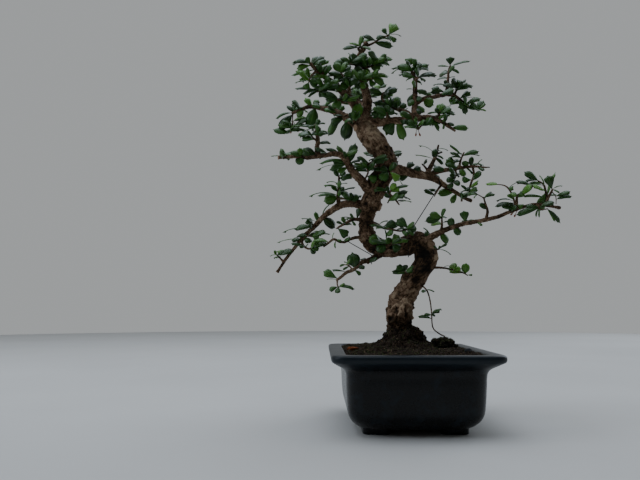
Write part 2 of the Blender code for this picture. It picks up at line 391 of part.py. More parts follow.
        (40, 181, 54, 175, 3, 15), (40, 181, 42, 184, 3, 40), (38, 180.5, 36, 184, 3, 40),
    ], 0),
    "shoot_low_left": ("trunk", [
        [(12, -1, 152, 1.4), (5, -11, 154, 1.0), (3, -13, 157, 0.8)],
    ], [
        (4, 156, -6, 163, 8, 70), (4, 155, -5, 155, 3, 25), (3, 157, 3, 164, 7, 70),
    ], 0),
    "shoot_low_right": ("trunk", [
        [(28, -2, 161, 1.7), (43, -6, 160.5, 1.2), (52, -8, 159, 1.0), (60, -9, 157, 0.9),
         (67, -10, 154.5, 0.8), (71, -11, 152, 0.6)],
    ], [
        (50, 159, 60, 165, 6, 70), (55, 158, 64, 160, 6, 78), (68, 154, 69, 166, 9, 82),
        (70, 152, 76, 153, 3, 45), (44, 160, 53, 163, 2.2, 12),
    ], 0),
    "shoot_hanging": ("trunk", [
        [(18, -3, 143, 1.1), (25, -15, 138, 0.9), (28, -19, 132, 0.9), (30, -21, 123, 0.8),
         (31, -22, 112, 0.8), (32, -23, 97, 0.8), (38, -24, 90.5, 0.8), (45, -25, 87, 0.8)],
    ], [
        (26, 137, 21, 134, 4, 60), (26, 137, 35, 135, 3, 25), (31, 112, 39, 115, 5, 50),
        (31, 110, 23, 110, 4, 50), (31, 112, 35, 108, 3, 60),
    ], 0),
    "branch_crown_back": ("trunk", [
        [(-38, 1, 331, 4.4), (-42, 17, 338, 3.8), (-47, 33, 346, 3.2), (-53, 48, 353, 2.5),
         (-58, 61, 359, 1.6)],
        [(-45, 26, 343, 1.8), (-36, 38, 350, 1.4), (-32, 48, 358, 1.0)],
        [(-51, 42, 351, 1.6), (-60, 46, 345, 1.3), (-68, 50, 343, 0.9)],
    ], [], 22),
    "branch_back": ("trunk", [
        [(-18, 2, 262, 4.4), (-20, 20, 270, 3.6), (-22, 36, 277, 2.9), (-24, 50, 283, 2.2),
         (-26, 63, 289, 1.5)],
        [(-21, 28, 274, 1.6), (-14, 38, 280, 1.3), (-12, 48, 286, 0.9)],
    ], [], 12),
}

# guy wire: name, (x, depth, z, loop radius) round the lower limb, the same round the upper
# limb, wire radius
GUY_WIRES = [
    ("guy_wire_right", (7, 2, 184.8, 12.6), (42, 23, 255, 5.6), 0.5),
    ("guy_wire_left", (-33, -7, 169.8, 5.2), (-57, -7, 191.2, 3.4), 0.45),
]

# loose things lying on the soil: name, centre, half sizes, turn about Z in degrees
LOOSE = [
    ("soil_clod", (39, -24, 79), (12, 9, 6.4), 12),
    ("bark_chip", (-55, -22, 75.6), (5.6, 3.4, 2.0), 35),
    ("stone", (59, -45, 74.4), (4.0, 3.2, 2.6), 20),
]

# material: name, linear colour, roughness
BARK = ("bark", (0.13, 0.085, 0.055), 0.85)
LEAF = ("leaf", (0.045, 0.12, 0.025), 0.35)
SOIL = ("soil", (0.02, 0.015, 0.01), 0.95)
POT = ("pot_plastic", (0.012, 0.016, 0.022), 0.3)
WIRE = ("wire", (0.02, 0.02, 0.02), 0.45)
CHIP = ("chip", (0.25, 0.09, 0.04), 0.8)
STONE = ("stone", (0.03, 0.03, 0.03), 0.7)

SMOOTH_BELOW = 50  # degrees: sharper edges than this stay sharp


# ---------------------------------------------------------------- helpers
def at_depth(x, y, z):
    """The point of the elevation at (x, z), moved along the line of sight to depth y. In metres."""
    scale = (y - VIEWPOINT.y) / -VIEWPOINT.y
    return Vector((
        VIEWPOINT.x + (x - VIEWPOINT.x) * scale, y, VIEWPOINT.z + (z - VIEWPOINT.z) * scale
    )) * MM


def material(spec):
    name, colour, rough = spec
    made = bpy.data.materials.get(name) or bpy.data.materials.new(name)
    made.use_nodes = True
    shader = made.node_tree.nodes["Principled BSDF"]
    shader.inputs["Base Color"].default_value = (*colour, 1)
    shader.inputs["Roughness"].default_value = rough
    return made


def new_object(name, mesh, materials=(), collection=None):
    obj = bpy.data.objects.new(name, mesh)
    (collection or bpy.context.scene.collection).objects.link(obj)
    for spec in materials[len(mesh.materials):]:
        mesh.materials.append(material(spec))
    return obj


def drop(obj):
    bpy.data.objects.remove(obj, do_unlink=True)


def evaluated_mesh(obj):
    graph = bpy.context.evaluated_depsgraph_get()
    return bpy.data.meshes.new_from_object(obj.evaluated_get(graph)).copy()


def filled(name, make, **options):
    """A mesh made by one of bmesh's own primitives."""
    shape = bmesh.new()
    make(shape, **options)
    mesh = bpy.data.meshes.new(name)
    shape.to_mesh(mesh)
    shape.free()
    return mesh


def tube_mesh(name, points, grow=0.0, sides=2, cyclic=False):
    """A closed tube along (place in metres, radius in mm) points, as a mesh."""
    curve = bpy.data.curves.new(name, "CURVE")
    curve.dimensions = "3D"
    curve.bevel_depth = 1.0
    curve.bevel_resolution = sides
    curve.use_fill_caps = True
    spline = curve.splines.new("POLY")
    spline.points.add(len(points) - 1)
    spline.use_cyclic_u = cyclic
    places = [place for place, _ in points]
    if grow:
        places[0] = places[0] + (places[0] - places[1]).normalized() * grow * MM
        places[-1] = places[-1] + (places[-1] - places[-2]).normalized() * grow * MM
    for point, place, (_, radius) in zip(spline.points, places, points):
        point.co = (*place, 1)
        point.radius = (radius + grow) * MM
    obj = bpy.data.objects.new(name, curve)
    bpy.context.scene.collection.objects.link(obj)
    mesh = evaluated_mesh(obj)
    drop(obj)
    weld(mesh)
    return mesh


def weld(mesh, flatness=0.0):
    """Joins coincident points, and with a flatness (degrees) merges faces that lie in one plane."""
    shape = bmesh.new()
    shape.from_mesh(mesh)
    bmesh.ops.remove_doubles(shape, verts=shape.verts, dist=2e-6)
    if flatness:
        bmesh.ops.dissolve_limit(shape, angle_limit=math.radians(flatness), verts=shape.verts,
                                 edges=shape.edges, delimit={"MATERIAL"})
    bmesh.ops.triangulate(shape, faces=shape.faces)
    bmesh.ops.recalc_face_normals(shape, faces=shape.faces)
    shape.to_mesh(mesh)
    shape.free()


def roundness(route):
    """A bevel resolution for a route of (x, depth, z, radius): more sides on thicker wood."""
    thickest = max(radius for _, _, _, radius in route)
    return 4 if thickest > 10 else 2 if thickest > 4.2 else 1 if thickest > 1.6 else 0


def placed(route):
    return [(at_depth(x, y, z), r) for x, y, z, r in route]


def joined(meshes, name):
    shape = bmesh.new()
    for mesh in meshes:
        shape.from_mesh(mesh)
    out = bpy.data.meshes.new(name)
    shape.to_mesh(out)
    shape.free()
    return out


def volume_and_bodies(mesh):
    shape = bmesh.new()
    shape.from_mesh(mesh)
    volume = shape.calc_volume()
    waiting, bodies = set(shape.verts), 0
    while waiting:
        bodies += 1
        front = [waiting.pop()]
        while front:
            near = {edge.other_vert(vert) for vert in front for edge in vert.link_edges} & waiting
            waiting -= near
            front = list(near)
    shape.free()
    return volume, bodies


def united(mesh, others):
    """mesh with each of the others added in turn; one that doesn't join on is left out."""
    for number, other in enumerate(others):
        larger = boolean(mesh, [other], "UNION")
        volume, bodies = volume_and_bodies(larger)
        if volume > volume_and_bodies(mesh)[0] and bodies == 1:
            mesh = larger
        else:
            print(mesh.name, "doesn't join piece", number, "bodies", bodies)
    return mesh


def boolean(mesh, others, operation):
    """mesh combined with the others, by an exact Boolean."""
    target = new_object("target", mesh)
    operand = new_object("operand", joined(others, "operand"))
    modifier = target.modifiers.new("combine", "BOOLEAN")
    modifier.operation = operation
    modifier.solver = "EXACT"
    modifier.object = operand
    out = evaluated_mesh(target)
    drop(target)
    drop(operand)
    weld(out)
    return out


def box_mesh(size, centre):
    matrix = Matrix.Translation(Vector(centre) * MM) @ Matrix.Diagonal((*(Vector(size) * MM), 1))
    return filled("box", bmesh.ops.create_cube, size=1, matrix=matrix)


def cylinder_mesh(radius, low, high, x, y, segments=20):
    return filled(
        "cylinder", bmesh.ops.create_cone, cap_ends=True, segments=segments,
        radius1=radius * MM, radius2=radius * MM, depth=(high - low) * MM,
        matrix=Matrix.Translation(Vector((x, y, (low + high) / 2)) * MM),
    )


def lump_mesh(name, centre, half, turn, grow=0.0):
    """An egg-shaped lump, turned about Z."""
    matrix = (
        Matrix.Translation(Vector(centre) * MM) @ Matrix.Rotation(math.radians(turn), 4, "Z")
        @ Matrix.Diagonal((*((Vector(half) + Vector((grow,) * 3)) * MM), 1))
    )
    return filled(name, bmesh.ops.create_icosphere, subdivisions=2, radius=1, matrix=matrix)


def pot_rings(levels, inset=0.0):
    """Rings for lofted() from levels (z, half width, corner radius) of the pot, drawn in by inset."""
    return [(z, half - inset, half + POT_END - inset, max(corner - inset, 1))
            for z, half, corner in levels]


def rounded_ring(half_x, half_y, corner, per_corner):
    """Points of a rounded rectangle, anticlockwise."""
    out = []
    for quarter, (sx, sy) in enumerate([(1, 1), (-1, 1), (-1, -1), (1, -1)]):
        for k in range(per_corner):
            angle = math.radians(90 * (quarter + k / (per_corner - 1)))
            out.append((
                sx * (half_x - corner) + corner * math.cos(angle),
                sy * (half_y - corner) + corner * math.sin(angle),
            ))
    return out


def lofted(name, rings, height=lambda x, y, z: z, per_corner=6):
    """A closed solid through rings, round the pot's middle, of (z, half width, half depth, corner)."""
    shape = bmesh.new()
    count = 4 * per_corner
    loop = bmesh.ops.create_circle(shape, segments=count, radius=1, cap_ends=False)["verts"]
    for number, (z, half_x, half_y, corner) in enumerate(rings):
        if number:
            edges = [shape.edges.get((a, b)) for a, b in zip(loop, loop[1:] + loop[:1])]
            made = bmesh.ops.extrude_edge_only(shape, edges=edges)["geom"]
            new = [item for item in made if isinstance(item, bmesh.types.BMVert)]
            shape.verts.ensure_lookup_table()
            partner = {}
            for old in loop:
                for edge in old.link_edges:
                    if edge.other_vert(old) in new:
                        partner[old] = edge.other_vert(old)
            loop = [partner[old] for old in loop]
        for vert, (x, y) in zip(loop, rounded_ring(half_x, half_y, corner, per_corner)):
            vert.co = Vector((POT_MIDDLE + x, y, height(x, y, z))) * MM
    bmesh.ops.holes_fill(shape, edges=[e for e in shape.edges if e.is_boundary], sides=0)
    mesh = bpy.data.meshes.new(name)
    shape.to_mesh(mesh)
    shape.free()
    weld(mesh)
    return mesh


# ---------------------------------------------------------------- leaves
def leaf_template():
    """Corner points (along, across, through) and faces of a blade: pointed at its root, broad
    and full thickness at 0.64 of its length, and a blunt thin edge at its tip."""
    shape = bmesh.new()
    bmesh.ops.create_cube(shape, size=1, matrix=Matrix.Translation((0.5, 0, 0)))
    bmesh.ops.bisect_plane(
        shape, geom=shape.verts[:] + shape.edges[:] + shape.faces[:],
        plane_co=(0.64, 0, 0), plane_no=(1, 0, 0),
    )
    for vert in shape.verts:
        if vert.co.x < 0.1:
            vert.co.y = 0
        if vert.co.x < 0.1 or vert.co.x > 0.9:
            vert.co.z = 0
    bmesh.ops.remove_doubles(shape, verts=shape.verts, dist=0.01)
    bmesh.ops.triangulate(shape, faces=shape.faces)
    shape.verts.index_update()
    bmesh.ops.recalc_face_normals(shape, faces=shape.faces)
    points = [vert.co.copy() for vert in shape.verts]
    faces = [[vert.index for vert in face.verts] for face in shape.faces]
    shape.free()
    return points, faces


TEMPLATE, TEMPLATE_FACES = leaf_template()
THICKNESS = 0.6


def blade(base, tip, width, turn, bow, grow=0.0):
    """Corner points, in metres, of a leaf from base to tip. It is edge-on to the viewer at a turn
    of 0 degrees, and square on at 90."""
    axis = tip - base
    length = axis.length
    axis.normalize()
    viewer = VIEWPOINT * MM - base
    facing = (viewer - axis * viewer.dot(axis)).normalized()
    edge_on = axis.cross(facing)
    if edge_on.z < 0:
        edge_on.negate()
    angle = math.radians(turn)
    normal = edge_on * math.cos(angle) + facing * math.sin(angle)
    side = normal.cross(axis)
    out = []
    for u, v, w in TEMPLATE:
        broad = width if u < 0.9 else 0.45 * width
        lift = 4 * u * (1 - u) * bow * length
        out.append(
            base + axis * (u * length + (grow * MM if u > 0.9 else 0))
            + side * v * (broad + 2 * grow) * MM
            + normal * (w * (THICKNESS + 2 * grow) * MM + lift)
        )
    return out


def nearest_on(routes, x, z):
    """The point of the twigs nearest to (x, z) on the elevation."""
    best = None
    for route in routes:
        for a, b in zip(route, route[1:]):
            a, b = Vector(a), Vector(b)
            run = Vector((b.x - a.x, b.z - a.z))
            t = Vector((x - a.x, z - a.z)).dot(run) / max(run.length_squared, 1e-9)
            point = a.lerp(b, min(max(t, 0.05), 0.92))
            away = math.hypot(point.x - x, point.z - z)
            if best is None or away < best[0]:
                best = (away, point)
    return best[1]


def tree_of(points, faces):
    return BVHTree.FromPolygons(points, faces)


def mesh_tree(mesh):
    return tree_of([v.co for v in mesh.vertices], [list(p.vertices) for p in mesh.polygons])


def clear_of(points, solids):
    tree = tree_of(points, TEMPLATE_FACES)
    return not any(tree.overlap(other) for other in solids)


def grown_leaf(make, stem, solids, offsets):
    """The first of the offered poses that grows from the stem and touches none of the other solids."""
    for offset in offsets:
        pose = make(offset)
        points = blade(*pose)
        if tree_of(points, TEMPLATE_FACES).overlap(stem) and clear_of(blade(*pose, grow=0.4), solids):
            return points
    return None


def jittered(root, rng):
    """No two leaves grow from quite the same point."""
    return root + Vector([rng.uniform(-0.25, 0.25) for _ in range(3)]) * MM


def drawn_leaf(routes, spec, rng):
    x0, z0, x1, z1, width, turn = spec
    base = nearest_on(routes, x0, z0)
    root = jittered(at_depth(*base.xyz), rng)
    lean = rng.uniform(-4, 2)
    spread = max(0, 13 - math.hypot(x1 - base.x, z1 - base.z)) * 0.8

    def make(offset):
        tip = at_depth(x1, base.y + lean - spread + offset, z1)
        return root, tip, width, turn, 0.10 if turn < 50 else 0.06

    return make


def filler_leaf(routes, number, rng):
    route = routes[number % len(routes)]
    t = rng.uniform(0.3, 1.0) * (len(route) - 1)
    k = min(int(t), len(route) - 2)
    base = Vector(route[k]).lerp(Vector(route[k + 1]), t - k)
    root = jittered(at_depth(*base.xyz), rng)
    length = rng.uniform(14, 21)
    width = length * rng.uniform(0.38, 0.5)
    turn = rng.uniform(15, 75)
    start = number * 137.5 + rng.uniform(-20, 20)

    def make(offset):
        angle = math.radians(start + 9 * offset)
        away = Vector((math.cos(angle), math.sin(angle), 0.25)).normalized()
        return root, root + away * length * MM, width, turn, 0.08

    return make


DRAWN_OFFSETS = [0, -3, 3, -6, 6, -9, 9, -12, 12, -15, 15, -19, 19]
FILLER_OFFSETS = [0, 2, 4, 6, 8, 10, 12, 14, 16, 18, 20, 22, 24, 26, 28]


# ---------------------------------------------------------------- pieces
def pot():
    feet = [
        box_mesh(FOOT_SIZE, (POT_MIDDLE + sx * FOOT_AT[0], sy * FOOT_AT[1], POT_FLOOR + FOOT_SIZE[2] / 2))
        for sx in (-1, 1) for sy in (-1, 1)
    ]
    body = boolean(lofted("pot", pot_rings(POT_OUTSIDE + POT_INSIDE)), feet, "UNION")
    holes = [
        cylinder_mesh(DRAIN_HOLE_RADIUS, -5, 12, POT_MIDDLE, sy * DRAIN_HOLE_AT) for sy in (-1, 1)
    ]
    return boolean(body, holes, "DIFFERENCE")


def soil_height(x, y, z):
    """The soil's surface: a little domed, with a mound round the trunk. z is the loft's own level."""
    if z < SOIL_TOP:
        return z
    edge = max(abs(x) / SOIL_HALF, abs(y) / (SOIL_HALF + POT_END))
    middle, height, spread_x, spread_y = MOUND
    mound = height * math.exp(-(((x - middle) / spread_x) ** 2 + (y / spread_y) ** 2))
    return SOIL_TOP + SOIL_DOME * (1 - edge ** 2) + mound


def soil(cutters):
    """The root ball: it fills the pot up to its rim, less what is planted in it or lies on it."""
    (floor, half, corner), *wall = POT_INSIDE[:1:-1]
    rings = pot_rings([(floor + GAP, half, corner)], GAP + 1) + pot_rings(wall, GAP + 0.1)
    rings += pot_rings([(SOIL_TOP, SOIL_HALF, 10.1)])
    for share in SOIL_RINGS:
        half = SOIL_HALF * share
        rings.append((SOIL_TOP, half, (SOIL_HALF + POT_END) * share, max(10 * share, 0.6 * half)))
    return boolean(lofted("soil", rings, soil_height), cutters, "DIFFERENCE")


def wood(name, grow=0.0):
    """The trunk, or a limb's stem and twigs, as one solid. grow makes it fatter, for a cutter."""
    routes = TRUNK_ROUTES if name == "trunk" else LIMBS[name][1]
    meshes = [tube_mesh(name, placed(route), grow, roundness(route)) for route in routes]
    return united(meshes[0], meshes[1:])


def wire_loop(name, low, high, radius):
    """One strand looped under the lower limb and over the upper one, and drawn tight between."""
    points = []
    for (x, y, z, size), start in ((low, 120), (high, -60)):
        for k in range(11):
            angle = math.radians(start + 30 * k)
            points.append((
                at_depth(x, y + size * math.cos(angle), z + size * math.sin(angle)), radius
            ))
    return tube_mesh(name, points, sides=1, cyclic=True)


def bare_stems():
    """Each limb without its leaves, cut back to GAP from the wood it grows from."""
    cutters, stems = {}, {}
    for name, (parents, _, _, _) in LIMBS.items():
        stem = wood(name)
        for parent in parents.split():
            if parent not in cutters:
                cutters[parent] = wood(parent, GAP)
            stem = boolean(stem, [cutters[parent]], "DIFFERENCE")
        stems[name] = stem
    return stems


def add_leaves(stems, fixed):
    """Grows every limb's leaves on its stem, clear of the other limbs and of the fixed meshes."""
    rng = random.Random(SEED)
    wooden = {name: mesh_tree(stem) for name, stem in stems.items()}
    solid = [mesh_tree(mesh) for mesh in fixed]
    grown = {name: [] for name in stems}
    for name, (_, twigs, drawn, fillers) in LIMBS.items():
        others = solid + [
            tree for other in stems if other != name for tree in [wooden[other]] + grown[other]
        ]
        blades = []
        jobs = [(drawn_leaf(twigs, spec, rng), DRAWN_OFFSETS) for spec in drawn]
        jobs += [(filler_leaf(twigs, k, rng), FILLER_OFFSETS) for k in range(fillers)]
        for number, (make, offsets) in enumerate(jobs):
            points = grown_leaf(make, wooden[name], others, offsets)
            if points is None:
                print(name, "left out leaf", number)
                continue
            grown[name].append(tree_of(points, TEMPLATE_FACES))
            mesh = bpy.data.meshes.new("leaf")
            mesh.from_pydata(points, [], TEMPLATE_FACES)
            for face in mesh.polygons:
                face.material_index = 1
            blades.append(mesh)
        for spec in (BARK, LEAF):
            stems[name].materials.append(material(spec))
        stems[name] = united(stems[name], blades)
        weld(stems[name], flatness=2.0)


def stand(pieces):
    """Puts the pieces in their collection, under an empty that centres them on the floor."""
    collection = bpy.data.collections.new("bonsai_tree_in_pot")
    bpy.context.scene.collection.children.link(collection)
    root = bpy.data.objects.new("bonsai", None)
    collection.objects.link(root)
    corners = []
    for name, (mesh, materials) in pieces.items():
        mesh.name = name
        mesh.shade_smooth()
        mesh.set_sharp_from_angle(angle=math.radians(SMOOTH_BELOW))
        new_object(name, mesh, materials, collection).parent = root
        corners += [vert.co for vert in mesh.vertices]
    low = Vector([min(corner[i] for corner in corners) for i in range(3)])
    high = Vector([max(corner[i] for corner in corners) for i in range(3)])
    root.location = (-(low.x + high.x) / 2, -(low.y + high.y) / 2, -low.z)
    print("size", [round(side / MM, 1) for side in high - low],
          "moved", [round(move / MM, 2) for move in root.location],
          "triangles", sum(len(mesh.polygons) for mesh, _ in pieces.values()))


def build():
    for obj in list(bpy.data.objects):
        drop(obj)
    trunk = wood("trunk")
    wires = {name: wire_loop(name, low, high, radius) for name, low, high, radius in GUY_WIRES}
    loose = {name: lump_mesh(name, *place) for name, *place in LOOSE}
    hollows = [lump_mesh(name, *place, grow=GAP) for name, *place in LOOSE]
    ground = soil([wood("trunk", GAP)] + hollows)
    pieces = {"pot": (pot(), (POT,)), "soil": (ground, (SOIL,)), "trunk": (trunk, (BARK,))}
    for name, spec in (("soil_clod", SOIL), ("bark_chip", CHIP), ("stone", STONE)):
        pieces[name] = loose[name], (spec,)
    for name, mesh in wires.items():
        pieces[name] = mesh, (WIRE,)
    stems = bare_stems()
    add_leaves(stems, [mesh for mesh, _ in pieces.values()])
    pieces.update((name, (mesh, (BARK, LEAF))) for name, mesh in stems.items())
    stand(pieces)


build()
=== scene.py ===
"""A small bonsai tree in a rectangular pot: its bark, leaves, soil, moss, training wires and pot.

The tree's routes and leaves are drawn on its front elevation in millimetres, from the middle of
the pot's foot, as in the CAD model. at_depth() moves a point along the line of sight to its own
depth and gives its place in the frame. The pot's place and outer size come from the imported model.
"""

import math
import random

import bmesh
import bpy
from mathutils import Matrix, Vector, kdtree, noise
from mathutils.bvhtree import BVHTree


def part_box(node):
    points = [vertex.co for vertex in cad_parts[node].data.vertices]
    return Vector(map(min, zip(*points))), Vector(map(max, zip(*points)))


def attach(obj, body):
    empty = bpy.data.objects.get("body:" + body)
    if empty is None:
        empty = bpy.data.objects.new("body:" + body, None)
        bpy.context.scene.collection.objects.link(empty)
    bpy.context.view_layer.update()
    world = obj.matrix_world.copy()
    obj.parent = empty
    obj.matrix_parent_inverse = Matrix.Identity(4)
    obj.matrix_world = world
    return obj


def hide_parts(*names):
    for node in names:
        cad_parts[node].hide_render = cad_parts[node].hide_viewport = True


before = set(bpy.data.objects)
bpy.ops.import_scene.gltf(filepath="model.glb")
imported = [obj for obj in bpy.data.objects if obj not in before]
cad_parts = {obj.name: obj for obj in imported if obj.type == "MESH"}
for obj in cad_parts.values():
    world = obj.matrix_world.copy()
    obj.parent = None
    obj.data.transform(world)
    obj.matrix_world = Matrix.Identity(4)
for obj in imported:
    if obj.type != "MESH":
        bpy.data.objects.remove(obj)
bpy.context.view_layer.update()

MM = 0.001
SEED = 7
VIEWPOINT = Vector((-88.7, -698.5, 118.5))  # mm from the elevation's zero, which is under the trunk
TILT = 95.9  # degrees of the view from straight down
LENS = 36.39  # mm, on a 36 mm wide sensor

# ---------------------------------------------------------------- pot and soil, mm
POT_MIDDLE = 3  # the pot's middle in x
POT_FLOOR = -2.4  # what its feet stand on
pot_low, pot_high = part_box("pot")
ZERO = Vector(((pot_low.x + pot_high.x) / 2 - POT_MIDDLE * MM, (pot_low.y + pot_high.y) / 2,
               pot_low.z - POT_FLOOR * MM))
POT_HALF = (pot_high.x - pot_low.x) / 2 / MM
POT_END = (pot_high.y - pot_low.y) / 2 / MM - POT_HALF  # how much longer than wide, at each end
POT_TOP = (pot_high.z - ZERO.z) / MM
# (z, half width, corner radius), up the outside and down the inside
POT_OUTSIDE = [
    (3.2, 47, 14), (3.3, 50.5, 15.5), (4.6, 54.6, 18), (8, 59.3, 20), (13, 63.2, 21),
    (21, 65.5, 21), (42, 66.8, 20), (53, 67, 18), (57.5, 67.9, 17), (60.5, 70.2, 16),
    (63, 74, 15.5), (65.4, 77.8, 15), (67.4, 80.6, 14.3), (69, POT_HALF, 14), (71.8, POT_HALF, 14),
    (73.3, 80.7, 13.5), (POT_TOP, 79.2, 13),
]
POT_INSIDE = [
    (POT_TOP, 68.6, 11.3), (73.6, 67.5, 11), (72.4, 66.6, 10.5), (70, 66.1, 10.5), (58, 64.2, 12),
    (26, 62, 18), (13, 58.5, 17), (9, 54, 15), (8, 48, 13),
]
FOOT_SIZE = (27, 33, 6.2)
FOOT_AT = (37.5, 53)
DRAIN_HOLE_RADIUS = 6.5
DRAIN_HOLE_AT = 38
SOIL_TOP = 71.0
SOIL_HALF = 66.0
SOIL_DOME = 6.0
MOUND = (-4, 16, 21, 23)  # middle in x from the pot's, height, and spread in x and y

# ---------------------------------------------------------------- wood, mm
TRUNK = [
    (-2, 0, 56, 12), (-2, 0, 70, 15), (-2, 0, 84, 16.4), (-3.4, 0, 97, 12.9), (-4, 0, 106, 14.7),
    (-3, 0, 115, 15.4), (-0.5, 0, 125, 14), (5, 0, 136, 12.6), (12.5, -1, 147, 12.2),
    (20, -2, 158, 11.6), (25.5, -2, 169, 12.3), (25, -1, 180, 12.6), (17, 0, 187, 12.2),
    (5, 2, 184.5, 10.6), (-9, 3, 182, 10.2), (-22, 4, 182, 10.4), (-33, 4, 188, 10.2),
    (-38, 4, 199, 9), (-38.5, 4, 211, 8.2), (-37, 4, 221, 8.8), (-33.5, 3, 231, 10.6),
    (-30, 2, 242, 10.4), (-24.5, 1, 254, 11.4), (-17.5, 0, 266, 12), (-15.5, -1, 278, 11.5),
    (-21, -2, 290, 11.3), (-30, -3, 301, 12.2), (-38, -3, 311, 11.2), (-41.5, -1, 321, 8.2),
    (-38, 0, 333, 6.2), (-36, 1, 345, 5.2), (-38, 2, 357, 4.7), (-42, 2, 369, 4.3),
    (-46, 2, 381, 3.9), (-46, 1, 392, 3.6), (-43, 0, 401, 3.3), (-39, -1, 408, 3.1),
    (-36.5, -1, 413.5, 2.7),
]
TRUNK_ROUTES = [
    TRUNK,
    [(24, -3, 184, 6), (29, -7, 185, 5.6), (31.5, -9.5, 185.5, 5)],
    [(17, 0, 189, 7), (19, 0, 196, 6), (20, 0, 199.5, 4.5)],
    [(-31, 3, 231, 7), (-25, 1, 227.5, 6), (-22.5, 0, 226.5, 4)],
    [(-39, -4, 313, 7), (-47, -9, 315, 4.6), (-50, -11, 315.5, 4)],
    [(-3, 0, 92, 9), (-12, -3, 88, 6.5), (-18, -5, 82, 4.2), (-22, -6, 76, 3.2)],
    [(0, 0, 96, 9), (11, -3, 92, 7.5), (19, -6, 84, 5), (23, -8, 75, 3.5)],
    [(-2, 3, 92, 9), (-4, 14, 86, 6.5), (-5, 22, 77, 4)],
    [(-2, -3, 92, 9), (2, -14, 86, 6.5), (5, -22, 77, 4)],
]

